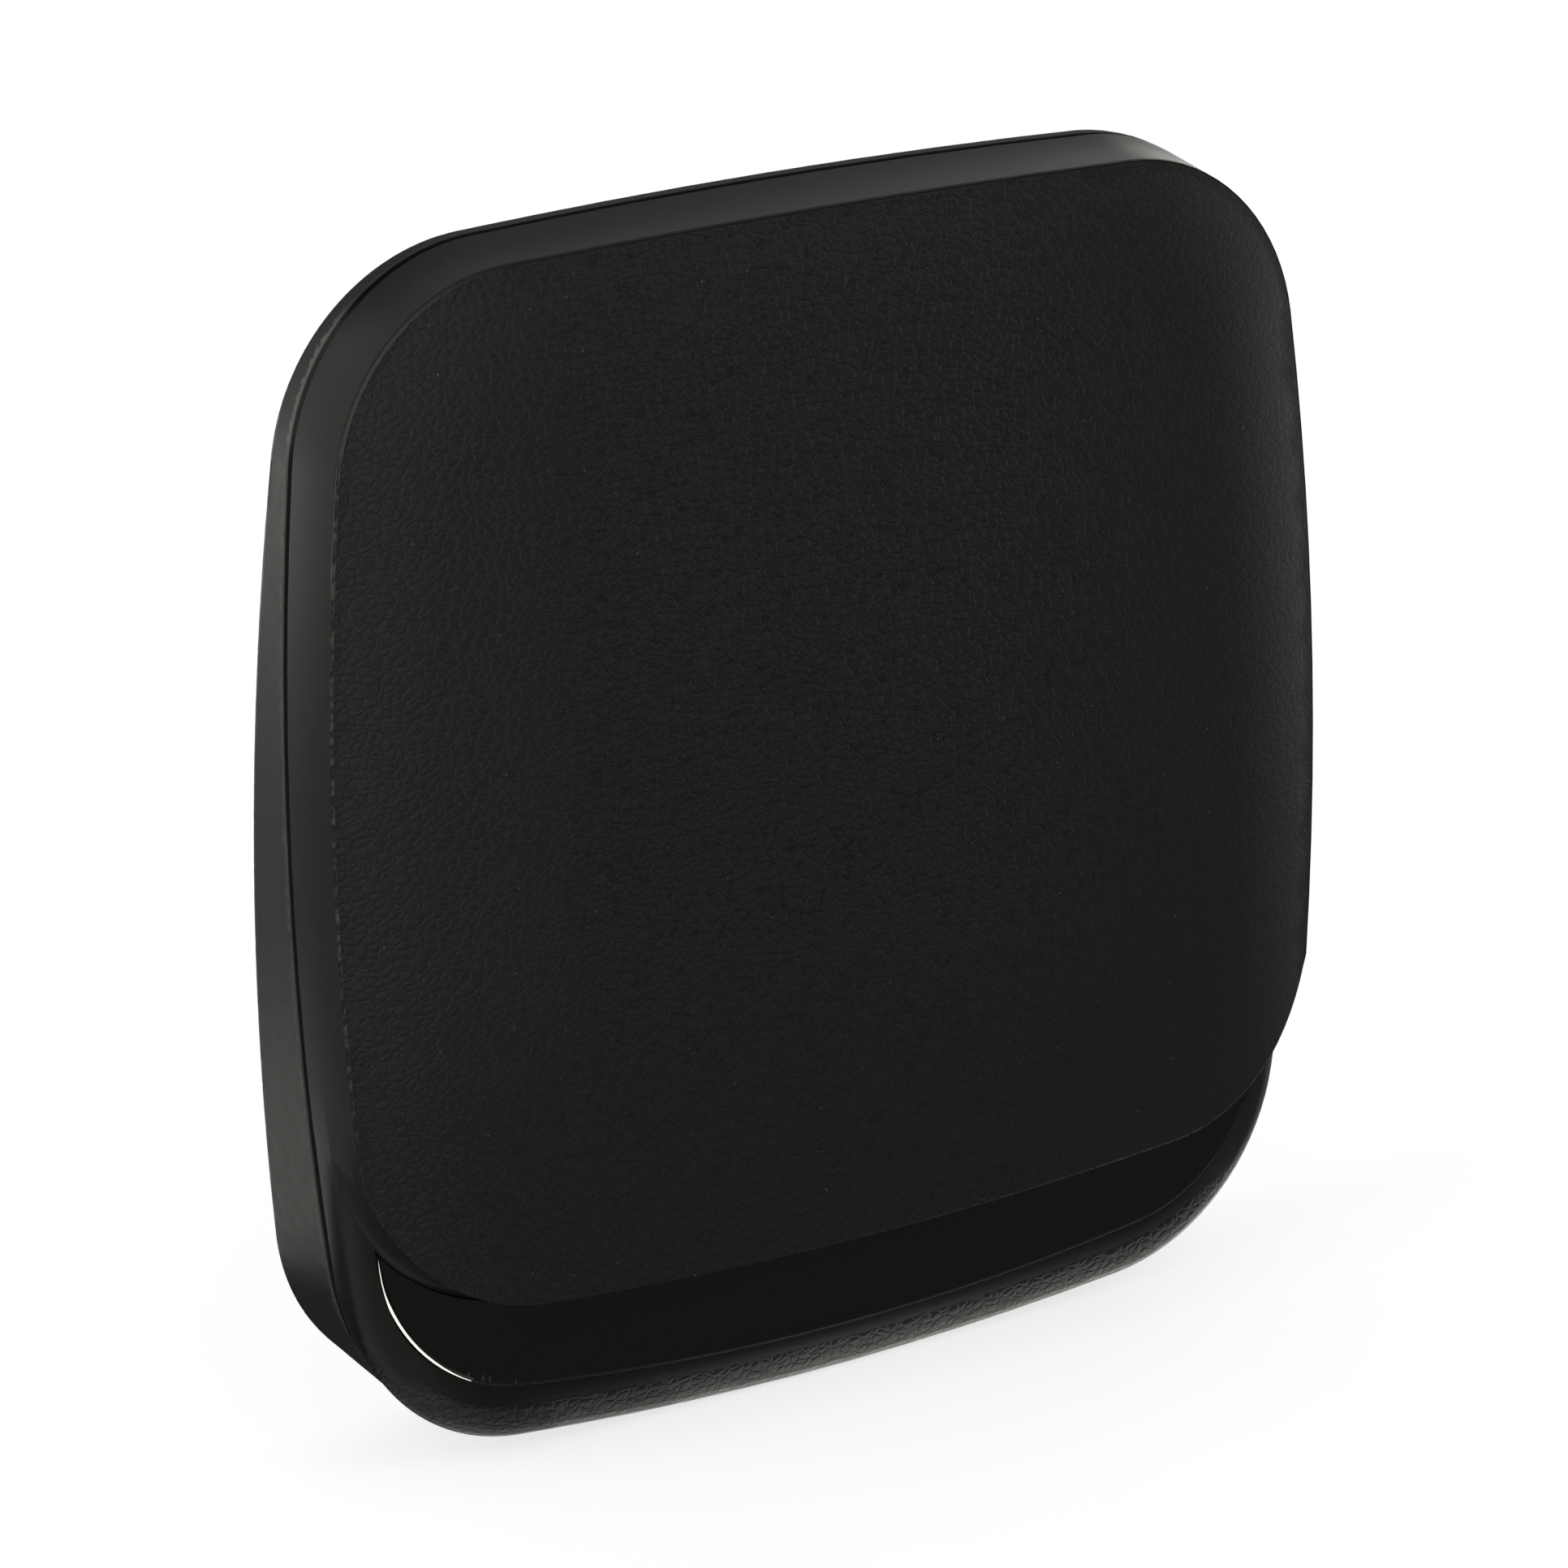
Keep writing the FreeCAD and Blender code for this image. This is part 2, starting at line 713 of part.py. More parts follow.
def make_socket_contact():
    """Spring contact inside the insulation, with a tail through the board."""
    end = thread_end - socket_mouth_depth - 1.5 - socket_fit
    barrel = rod(0, socket_z, contact_r, board_back + 0.3, end)
    barrel = barrel.cut(rod(0, socket_z, contact_mouth_r, end - contact_mouth_depth, end + 1))
    tail = rod(0, socket_z, contact_tail_r, board_back + 0.5 - contact_tail_length, board_back + 0.5)
    return joined(barrel, [tail])


def make_socket_washer():
    """Flat washer under the nut."""
    disc = rod(0, socket_z, washer_r, rear_face, washer_back)
    return disc.cut(rod(0, socket_z, socket_thread_r + nut_clearance + 0.1, rear_face - 1, washer_back + 1))


def make_socket_nut():
    """Hexagon nut with turned corners."""
    corner_r = nut_across_flats / math.sqrt(3)
    points = [V(corner_r * math.cos(math.radians(60 * i)), washer_back,
                socket_z + corner_r * math.sin(math.radians(60 * i))) for i in range(7)]
    hexagon = Part.Face(Part.makePolygon(points)).extrude(V(0, nut_height, 0))
    cone_r = nut_across_flats / 2 + 0.25
    turned = Part.makeCone(cone_r + nut_height * 1.7, cone_r, nut_height, V(0, washer_back, socket_z), V(0, 1, 0))
    nut = hexagon.common(turned)
    return nut.cut(rod(0, socket_z, socket_neck_r + nut_clearance, washer_back - 1, nut_back + 1))


def make_feet():
    """Rubber feet."""
    feet = []
    for x, y in foot_places:
        foot = Part.makeCylinder(foot_r, foot_height, V(x, y, 0))
        rim = [e for e in foot.Edges if abs(e.CenterOfMass.z) < 1e-6]
        feet.append(foot.makeFillet(foot_edge_r, rim))
    return Part.makeCompound(feet)


def bent_path(points, r):
    """Wire through the points, its corners rounded."""
    edges = []
    last = points[0]
    for before, corner, after in zip(points, points[1:], points[2:]):
        back = before.sub(corner).normalize()
        ahead = after.sub(corner).normalize()
        half = back.getAngle(ahead) / 2
        enter = corner.add(V(back).multiply(r / math.tan(half)))
        leave = corner.add(V(ahead).multiply(r / math.tan(half)))
        middle = corner.add(back.add(ahead).normalize().multiply(r / math.sin(half) - r))
        edges.append(Part.makeLine(last, enter))
        edges.append(Part.Arc(enter, middle, leave).toShape())
        last = leave
    edges.append(Part.makeLine(last, points[-1]))
    return Part.Wire(edges)


def make_leads():
    """Insulated leads between the feed tabs and the board."""
    leads = []
    back = element_y + element_thickness + lead_gap
    tab_z = element_low_z - element_tab_length + lead_tab_inset
    for side in (1, -1):
        x = side * lead_x
        start = stand_point(x, back, tab_z)
        out = stand_point(x, back + lead_straight, tab_z)
        end = V(x, board_front - lead_gap, lead_board_z)
        path = bent_path([start, out, end.sub(V(0, lead_straight, 0)), end], lead_bend_r)
        ring = Part.Wire(Part.makeCircle(lead_r, start, out.sub(start)))
        leads.append(path.makePipeShell([ring], True, True))
    return Part.makeCompound(leads)


os.makedirs("parts", exist_ok=True)
nodes = {
    "front_housing": make_front_housing(),
    "rear_housing": make_rear_housing(),
    "chin_plate": make_chin_plate(),
    "plate_film": make_plate_film(),
    "right_element": make_element(1),
    "left_element": make_element(-1),
    "element_screws": make_element_screws(),
    "amplifier_board": make_board(),
    "board_screws": make_board_screws(),
    "shield_frame": make_shield_frame(),
    "shield_lid": make_shield_lid(),
    "balun_core": make_balun(),
    "capacitor": make_capacitor(),
    "choke": make_choke(),
    "socket_body": make_socket_body(),
    "socket_insulator": make_socket_insulator(),
    "socket_contact": make_socket_contact(),
    "socket_washer": make_socket_washer(),
    "socket_nut": make_socket_nut(),
    "case_screws": make_case_screws(),
    "rubber_feet": make_feet(),
    "feed_leads": make_leads(),
}
for name, shape in nodes.items():
    shape.exportStep("parts/" + name + ".step")
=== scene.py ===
import math

import bmesh
import bpy
from bpy.props import FloatProperty, FloatVectorProperty, IntProperty, PointerProperty
from mathutils import Matrix, Vector


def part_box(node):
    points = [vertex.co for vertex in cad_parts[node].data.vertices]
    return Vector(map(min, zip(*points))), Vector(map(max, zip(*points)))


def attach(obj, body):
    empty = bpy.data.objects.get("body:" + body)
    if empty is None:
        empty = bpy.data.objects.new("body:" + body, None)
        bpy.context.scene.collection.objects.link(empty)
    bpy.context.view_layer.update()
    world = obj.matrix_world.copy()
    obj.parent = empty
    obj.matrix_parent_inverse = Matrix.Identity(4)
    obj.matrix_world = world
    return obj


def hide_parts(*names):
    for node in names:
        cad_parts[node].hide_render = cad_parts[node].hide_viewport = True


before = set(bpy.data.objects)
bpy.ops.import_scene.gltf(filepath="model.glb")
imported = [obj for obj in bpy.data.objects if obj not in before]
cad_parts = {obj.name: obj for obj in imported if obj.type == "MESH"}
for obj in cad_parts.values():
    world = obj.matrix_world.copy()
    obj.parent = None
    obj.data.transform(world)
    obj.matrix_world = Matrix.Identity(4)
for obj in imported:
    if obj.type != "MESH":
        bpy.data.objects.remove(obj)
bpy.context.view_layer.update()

bl_info = {
    "name": "Tabletop TV antenna",
    "version": (1, 0, 0),
    "blender": (4, 5, 0),
    "location": "View3D > Sidebar > Antenna",
    "description": "Finishes and small pieces of a tabletop television antenna",
    "category": "Object",
}

MM = 1000

# The upright body stands in the row frame leaning back, with its origin at STANCE.
LEAN = math.radians(5.5)
STANCE = Vector((0.0, -0.0137, 0.1062))
UPRIGHT = Matrix.Rotation(LEAN, 3, "X")
LEANING = Matrix.Rotation(-LEAN, 3, "X")
FRONT = LEANING @ Vector((0, -1, 0))

# Places on the upright body, in millimetres: x to the right, y to the back, z up.
BAND_MIDDLE = 5.8
SEAM_Y = 0.24
LIP_TOP = -83.0
LIP_FRONT = 7.0
LIP_FADE = 8.0
OVERHANG_ARC = ((0.0, 722.8, 0.0), 800.0)
OVERHANG_CORNER = ((61.66, -37.2, 0.0), 37.5)
CORNER_START = 64.7
BEVEL_HIGHLIGHT = (6.58, 6.63)
GLINT_LINE = (6.42, 6.5)
PLATE_TICKS = [(-75.1, -87.3), (-72.3, -88.5), (-71.0, -89.0), (-66.0, -90.8), (-62.2, -92.0)]
TICK_Y = 6.0
TICK_HALF = (0.14, 2.0, 0.7)
# Nicks in the parting line, as centres and half sizes: each is drawn as a spot of painted shade.
SHADED_NICKS = [((8.3, 11.6, 102.0), (0.9, 0.5, 0.6)), ((-25.0, 11.6, 102.2), (2.2, 0.25, 0.3)),
                 ((-17.0, 11.6, 102.1), (2.1, 0.3, 0.35)), ((-100.6, 11.6, -25.7), (0.6, 0.6, 0.5))]
CASE_SCREWS = [(x, 17.4, z) for x in (79.0, -79.0) for z in (70.0, -50.0)]
ELEMENT_SCREWS = [(side * x, 5.5, z) for side in (1, -1) for x, z in ((64.5, 62.0), (64.5, 4.0), (11.5, 62.0))]

# Sizes of the screws, in millimetres, and places of the board's screws in the row frame, across and up in metres.
SCREW_LABELS = ("Head radius", "Head height", "Shank radius", "Length")
SCREW_SIZES = {"case": (2.9, 2.0, 1.45, 13.0), "element": (2.1, 1.4, 1.05, 5.0), "board": (2.2, 1.5, 1.1, 5.5)}
BOARD_SCREWS = [(x, z) for x in (0.0265, -0.0265) for z in (0.0305, 0.0715)]
HEAD_PROFILE = [(0.0, 1.0), (0.55, 1.0), (0.74, 0.965), (0.88, 0.87), (0.97, 0.7), (1.0, 0.5)]
HEAD_SIDES = 40
SHANK_SIDES = 24

# Sizes of the outlet's barrel, in metres.
OUTLET_Z = 0.042
CREST_R = 0.0047625
NECK_R = 0.0043
BORE_R = 0.0032
SHOULDER = 0.0026
THREAD = 0.008
RUN_OUT = 0.0006
CHAMFER = 0.0003
END_TAPER = 0.00025
STEPS_A_TURN = 8
LEAD_IN = 3

# Limits for the directions of faces and normals, as cosines.
SAME_NORMAL = 0.9999
SMOOTH_LIMIT = math.radians(48)
LEFT_ARC_END = -0.0742
UPWARD = 0.45

# Tints of the light and of deep shade.
SOFT = (1.0, 1.0, 0.95)
SHADE = (0.0005, 0.0005, 0.0005)

# Lamps: place, target, width and height in metres, and power in watts.
LAMPS = [
    ("left_softbox", (-1.5, 0.1, 1.1), (0.0, 0.0, 0.1), 0.9, 0.9, 5.0),
    ("left_strip", (-1.2, -0.25, 0.1), (0.0, 0.0, 0.06), 0.12, 0.7, 6.0),
    ("front_high", (0.75, -1.1, 1.1), (0.0, 0.0, 0.1), 0.5, 0.5, 1.6),
    ("top_softbox", (1.3, 0.75, 0.75), (0.0, 0.0, 0.15), 0.5, 0.5, 1.0),
]

# Cards that lie on the floor: limits across and back, height above the floor, and brightness.
BASE, RAISED, TOP = 0.0004, 0.0006, 0.0008
UNDER_BACK = (-0.0192, 0.0)
UNDER_LEFT, UNDER_WIDTH = -0.1, 0.023
UNDER_LEVELS = (0.6, 1.1, 1.7, 2.2)
LOW_LEFT_LIGHT = [(-0.25, -0.13), (-0.075, -0.034), (-0.066, -0.0145), (-0.25, -0.052)]
LOW_LEFT_LEVEL = 1.1
FLOOR_CARDS = [
    ("left_card", (-1.2, -0.06), (0.06, 0.5), BASE, 0.28),
    ("left_near_card", (-0.17, -0.09), (0.065, 0.18), RAISED, 0.78),
    ("left_far_card", (-1.6, 0.1), (0.5, 1.2), BASE, 1.7),
    ("under_light_right", (-0.008, 0.2), UNDER_BACK, RAISED, 2.5),
    ("under_card", (-0.2, 0.2), (-0.0185, 0.06), BASE, 0.04),
    ("front_card", (-0.4, 0.9), (-0.7, -0.32), BASE, 0.1),
    ("rim_card", (-0.4, 0.9), (-0.042, -0.0192), BASE, 0.06),
    ("front_near_card", (-0.4, 0.9), (-0.32, -0.042), BASE, 0.33),
    ("plate_card", (-0.09, -0.012), (-0.17, -0.1), RAISED, 0.38),
    ("front_left_card", (-0.4, 0.12), (-0.7, -0.45), RAISED, 1.4),
    ("front_left_near_card", (-0.4, 0.12), (-0.45, -0.22), RAISED, 0.28),
    ("front_mid_card", (0.12, 0.22), (-0.7, -0.35), RAISED, 0.5),
    ("front_right_card", (0.46, 1.3), (-0.4, 0.1), RAISED, 1.6),
]

# Cards that stand upright: limits across, place back, limits up, and brightness.
FRONT_WALL, BACK_WALL = -0.7, 1.2
WALL_CARDS = [
    ("front_left_wall", (-0.35, 0.12), FRONT_WALL, (0.0, 2.0), 1.4),
    ("front_mid_wall", (0.12, 0.23), FRONT_WALL, (0.0, 2.0), 0.6),
    ("front_wall", (0.23, 0.9), FRONT_WALL, (0.0, 2.0), 0.08),
    ("back_wall", (-0.5, 1.29), BACK_WALL, (0.0, 1.6), 0.13),
    ("back_right_wall", (1.29, 2.0), BACK_WALL, (0.0, 1.2), 2.4),
    ("back_left_wall", (-1.0, -0.5), BACK_WALL, (0.8, 1.7), 1.35),
]
FLOOR_HALF = 6.0
FLOOR_GLOW = 0.72


def stand(x, y, z):
    """Place in the row frame, in metres, of a point of the upright body in millimetres."""
    return LEANING @ (Vector((x, y, z)) / MM) + STANCE


def shade(colour, factor):
    """A colour made darker or lighter."""
    return [channel * factor for channel in colour]


class Nodes:
    """A node tree, and short calls for its nodes whose kinds start with one prefix."""

    prefix = "ShaderNode"

    def put(self, socket, value):
        """Links a socket, several geometries to one, or sets a constant on it."""
        if isinstance(value, bpy.types.NodeSocket):
            self.tree.links.new(value, socket)
        elif socket.type == "GEOMETRY":
            for part in value:
                self.tree.links.new(part, socket)
        elif socket.type == "RGBA":
            socket.default_value = (*value[:3], 1.0)
        else:
            socket.default_value = value

    def make(self, kind, inputs=None, **settings):
        """A new node with its settings and inputs."""
        node = self.tree.nodes.new(kind)
        for key, value in settings.items():
            setattr(node, key, value)
        for key, value in (inputs or {}).items():
            self.put(node.inputs[key], value)
        return node

    def add(self, kind, inputs=None, **settings):
        """A new node whose kind is given without the prefix."""
        return self.make(self.prefix + kind, inputs, **settings)

    def math(self, operation, a, b=0.0):
        """Result of a sum on two values."""
        return self.make("ShaderNodeMath", {0: a, 1: b}, operation=operation).outputs[0]

    def times(self, total, *values):
        """Product of values."""
        for value in values:
            total = self.math("MULTIPLY", total, value)
        return total


class Shader(Nodes):
    """A material and short calls for its nodes."""

    def __init__(self, name):
        self.material = bpy.data.materials.new(name)
        self.material.use_nodes = True
        self.tree = self.material.node_tree
        self.surface = self.tree.nodes["Principled BSDF"]

    def set(self, **inputs):
        """Sets or links inputs of the surface shader, with spaces written as underscores."""
        for key, value in inputs.items():
            self.put(self.surface.inputs[key.replace("_", " ")], value)

    def show(self, shader):
        """Makes a shader the material's surface."""
        self.tree.links.new(shader, self.tree.nodes["Material Output"].inputs["Surface"])

    def ramp(self, value, start, end, low=0.0, high=1.0):
        """A smooth step of a value between two limits."""
        node = self.add("MapRange", {"Value": value, "From Min": start, "From Max": end,
                                     "To Min": low, "To Max": high}, interpolation_type="SMOOTHSTEP")
        return node.outputs["Result"]

    def mix(self, factor, a, b):
        """A blend of two colours."""
        return self.add("Mix", {0: factor, 6: a, 7: b}, data_type="RGBA").outputs[2]

    def blend(self, factor, a, b):
        """A blend of two numbers."""
        return self.add("Mix", {0: factor, 2: a, 3: b}).outputs[0]

    def place(self, streak=(1.0, 1.0, 1.0)):
        """Object coordinates in millimetres, which may be stretched along the axes."""
        source = self.add("TexCoord").outputs["Object"]
        return self.add("Mapping", {"Vector": source, "Scale": shade(streak, MM)}).outputs[0]

    def body(self):
        """Coordinates of the upright body in millimetres, and the surface normal in it."""
        source = self.add("TexCoord").outputs
        place = self.add("Mapping", {"Vector": source["Object"], "Location": UPRIGHT @ STANCE * -MM,
                                     "Rotation": (LEAN, 0, 0), "Scale": (MM,) * 3}).outputs[0]
        normal = self.add("Mapping", {"Vector": source["Normal"], "Rotation": (LEAN, 0, 0)},
                          vector_type="VECTOR").outputs[0]
        return place, normal

    def split(self, vector):
        """The three parts of a vector."""
        return self.add("SeparateXYZ", {0: vector}).outputs

    def flat(self, across, up):
        """A vector of two values."""
        return self.add("CombineXYZ", {0: across, 1: up}).outputs[0]

    def vector(self, operation, *inputs):
        """The node of a sum on vectors."""
        return self.add("VectorMath", dict(enumerate(inputs)), operation=operation)

    def weigh(self, *terms):
        """A sum of values, each times its weight."""
        total = 0.0
        for value, weight in terms:
            total = self.add("Math", {0: value, 1: weight, 2: total}, operation="MULTIPLY_ADD").outputs[0]
        return total

    def spot(self, place, centre, half):
        """A soft oval mark, one at its centre, with half sizes along the axes."""
        away = self.vector("SUBTRACT", place, centre).outputs[0]
        away = self.vector("MULTIPLY", away, [1 / size for size in half]).outputs[0]
        return self.ramp(self.vector("LENGTH", away).outputs["Value"], 1.0, 0.7)

    def noise(self, place, scale, detail=2.0, roughness=0.5):
        """A noise value."""
        return self.add("TexNoise", {"Vector": place, "Scale": scale, "Detail": detail,
                                     "Roughness": roughness}).outputs["Fac"]

    def bump(self, height, distance, strength=1.0, normal=None):
        """A normal bent by a height, whose distance is in metres."""
        inputs = {"Height": height, "Distance": distance, "Strength": strength}
        if normal is not None:
            inputs["Normal"] = normal
        return self.add("Bump", inputs).outputs[0]


def dress(node, material):
    """Gives a CAD node a material."""
    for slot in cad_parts[node].material_slots:
        slot.material = material


def keep(mesh, name, material, node):
    """Makes a finished mesh a piece that rides on the antenna and stands for its node."""
    piece = bpy.data.objects.new(name, mesh)
    bpy.context.scene.collection.objects.link(piece)
    if not mesh.materials:
        mesh.materials.append(material)
    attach(piece, "root")
    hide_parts(node)


def merged(node, name):
    """Copy of a CAD node with its doubles merged, and its corner normals as they were."""
    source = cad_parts[node].data
    bm = bmesh.new()
    bm.from_mesh(source)
    kept = bm.loops.layers.float_vector.new("kept")
    corners = iter([Vector(n.vector) for n in source.corner_normals])
    for face in bm.faces:
        for loop in face.loops:
            loop[kept] = next(corners)
    bmesh.ops.remove_doubles(bm, verts=bm.verts, dist=1e-7)
    mesh = bpy.data.meshes.new(name)
    bm.to_mesh(mesh)
    bm.free()
    normals = [Vector(item.vector) for item in mesh.attributes["kept"].data]
    mesh.attributes.remove(mesh.attributes["kept"])
    mesh.shade_smooth()
    mesh.normals_split_custom_set(normals)
    return mesh, normals


def softened(node, name, limit):
    """Merged copy of a CAD node, shaded smoothly over edges flatter than the limit and rounder along the lip."""
    mesh, normals = merged(node, name)
    least = math.cos(limit)
    spots = {}
    for loop in mesh.loops:
        spots.setdefault(loop.vertex_index, []).append(loop.index)
    smooth = [None] * len(normals)
    lip = [0.0] * len(mesh.vertices)
    for index, loops in spots.items():
        place = UPRIGHT @ (mesh.vertices[index].co - STANCE) * MM
        on_lip = place.z < LIP_TOP and place.y > LIP_FRONT
        for i in loops:
            near = []
            for k in loops:
                if normals[i].dot(normals[k]) > least and all(normals[k].dot(n) < SAME_NORMAL for n in near):
                    near.append(normals[k])
            near.sort(key=lambda n: -n.dot(FRONT))
            total = sum(near, Vector((0, 0, 0))).normalized()
            last = near[-1].dot(FRONT)
            if on_lip and len(near) > 1 and 0.3 < last < 0.98:
                lip[index] = 1.0
                lead = 0.8 if last > 0.9 else 0.2
                rounder = (near[-1] + lead * (near[-1] - near[0])).normalized()
                total = total.lerp(rounder, min(1.0, (LIP_TOP - place.z) / LIP_FADE)).normalized()
            smooth[i] = total
    mesh.normals_split_custom_set(smooth)
    mesh.attributes.new("lip", "FLOAT", "POINT").data.foreach_set("value", lip)
    return mesh


class FrontCaseSettings(bpy.types.PropertyGroup):
    """Finish of the front case."""

    colour: FloatVectorProperty(name="Colour", description="Colour of the moulding", subtype="COLOR",
                                default=(0.0082, 0.0082, 0.0073), min=0, max=1)
    pad: FloatVectorProperty(name="Pad colour", description="Colour of the grained pad", subtype="COLOR",
                             default=(0.0075, 0.0075, 0.0067), min=0, max=1)
    cell: FloatProperty(name="Grain cell", description="Width of one grain cell, in millimetres",
                        default=1.65, min=0.2, max=5)
    depth: FloatProperty(name="Grain depth", description="Depth of the grain's creases", default=0.00015,
                         min=0, max=0.001, unit="LENGTH", precision=6)
    # This colour is partly wear and partly a painted highlight along the pad's edges.
    worn_highlight: FloatVectorProperty(name="Worn edge", description="Colour of the rubbed edge of the pad", subtype="COLOR",
                              default=(0.12, 0.118, 0.11), min=0, max=1)
    dust: FloatVectorProperty(name="Dust", description="Colour of the specks of dust", subtype="COLOR",
                              default=(0.11, 0.11, 0.102), min=0, max=1)


class RearCaseSettings(bpy.types.PropertyGroup):
    """Finish of the rear case."""

    colour: FloatVectorProperty(name="Colour", description="Colour of the moulding", subtype="COLOR",
                                default=(0.0093, 0.0093, 0.0083), min=0, max=1)
    # This colour is a painted highlight along the rear case's edge at the groove.
    groove_highlight: FloatVectorProperty(name="Groove highlight", description="Colour of the pale edge along the groove", subtype="COLOR",
                               default=(0.09, 0.09, 0.085), min=0, max=1)
    texture: FloatProperty(name="Texture depth", description="Depth of the fine moulded texture",
                           default=0.00002, min=0, max=0.0005, unit="LENGTH", precision=6)


class PlateSettings(bpy.types.PropertyGroup):
    """Finish of the chin plate."""

    colour: FloatVectorProperty(name="Colour", description="Colour of the plate", subtype="COLOR",
                                default=(0.0018, 0.0018, 0.0018), min=0, max=1)
    # This colour paints the highlight on the plate's left bevel, and the painted light on its cut edge.
    edge: FloatVectorProperty(name="Edge colour", description="Colour of the polished edge", subtype="COLOR",
                              default=(0.9, 0.9, 0.88), min=0, max=1)
    tick: FloatVectorProperty(name="Tick colour", description="Colour of the fine ticks at the edge", subtype="COLOR",
                              default=(0.07, 0.07, 0.068), min=0, max=1)


class OutletSettings(bpy.types.PropertyGroup):
    """Sizes of the threaded outlet."""

    pitch: FloatProperty(name="Pitch", description="Pitch of the outlet's thread", default=0.00079375,
                         min=0.0003, max=0.003, unit="LENGTH", precision=6)
    depth: FloatProperty(name="Thread depth", description="Depth of the outlet's thread", default=0.00042,
                         min=0.0001, max=0.001, unit="LENGTH", precision=6)
    columns: IntProperty(name="Columns", description="Points round the barrel", default=72, min=12, max=256)


class ScrewSettings(bpy.types.PropertyGroup):
    """Details of the screws."""

    recess: FloatProperty(name="Recess", description="Width of the cross recess against the head", default=1.15,
                          min=0.3, max=1.8)
    slot_width: FloatProperty(name="Recess slot", description="Width of a recess slot against the head",
                              default=0.26, min=0.05, max=0.6)
    thread: FloatProperty(name="Thread", description="Height of the thread against the shank", default=0.2,
                          min=0, max=0.5)


class StageSettings(bpy.types.PropertyGroup):
    """Camera, floor and light."""

    eye: FloatVectorProperty(name="Camera place", description="Place of the camera", subtype="TRANSLATION",
                             default=(-0.681949, -0.948278, 0.5293), unit="LENGTH")
    target: FloatVectorProperty(name="Camera target", description="Point that the camera looks at",
                                subtype="TRANSLATION", default=(-0.012387, -0.01338, 0.109519), unit="LENGTH")
    roll: FloatProperty(name="Camera roll", description="Turn of the camera about its line of sight",
                        default=math.radians(1.4933), subtype="ANGLE")
    lens: FloatProperty(name="Lens", description="Focal length in millimetres", default=170.05, min=10, max=400)
    fill: FloatProperty(name="Fill", description="Light of the surroundings", default=0.5, min=0, max=2)


# In the materials below, limits on x, y and z are millimetres on the upright body, and limits on a direction are
# cosines. Scales of noise are counts in a millimetre.

def grain_cells(s, place, width):
    """Distance to the nearest furrow of the leather grain, and the uneven value that bends its cells."""
    warp = s.add("TexNoise", {"Vector": place, "Scale": 0.6, "Detail": 2.0}).outputs
    bent = s.vector("MULTIPLY_ADD", warp["Color"], (1.4, 1.4, 1.4), place).outputs[0]
    bent = s.vector("MULTIPLY", bent, (0.8, 1.0, 1.15)).outputs[0]
    cell = s.add("TexVoronoi", {"Vector": bent, "Scale": 1 / width}, feature="DISTANCE_TO_EDGE")
    return cell.outputs["Distance"], warp["Fac"]


def lit_rubbed_edges(s, place, pad, uneven, fine):
    """Share of wear and painted highlight: ragged along the pad's left side, fine along its lower right edge."""
    x, y, z = s.split(place)
    whole = s.ramp(z, 66.0, 76.0, 0.0, 0.4)
    broken = s.times(s.ramp(uneven, 0.44, 0.62), s.ramp(z, -55.0, -20.0, 0.0, 0.45))
    left = s.times(s.ramp(x, -60.0, -92.0), s.math("MAXIMUM", whole, broken),
                   s.ramp(s.math("ABSOLUTE", y), 0.07, 0.02))
    inside = []
    for centre, radius in (OVERHANG_ARC, OVERHANG_CORNER):
        away = s.vector("DISTANCE", s.flat(x, z), centre).outputs["Value"]
        inside.append(s.math("SUBTRACT", radius, away))
    inside = s.blend(s.math("GREATER_THAN", x, CORNER_START), *inside)
    lower = s.times(s.ramp(inside, 0.4, 0.15), pad, s.ramp(z, -35.0, -50.0),
                    s.ramp(x, -40.0, 80.0, 0.0, 0.5), s.ramp(fine, 0.35, 0.6))
    return s.math("MAXIMUM", left, lower)


def dust_specks(s, place, pad):
    """Specks of dust that lie on the pad and on the band above the chin."""
    x, y, z = s.split(place)
    on_band = s.flat(s.math("ADD", x, z), y)
    spread = s.add("Mix", {0: pad, 4: on_band, 5: s.flat(x, z)}, data_type="VECTOR").outputs[1]
    dust = s.add("TexVoronoi", {"Vector": spread, "Scale": 0.12}, voronoi_dimensions="2D").outputs
    chance, size = s.split(dust["Color"])[:2]
    inside = s.math("LESS_THAN", dust["Distance"], s.ramp(size, 0.0, 1.0, 0.006, 0.017))
    return s.times(inside, s.ramp(chance, 0.62, 0.67), s.math("MAXIMUM", pad, s.ramp(z, -50.0, -45.0)))


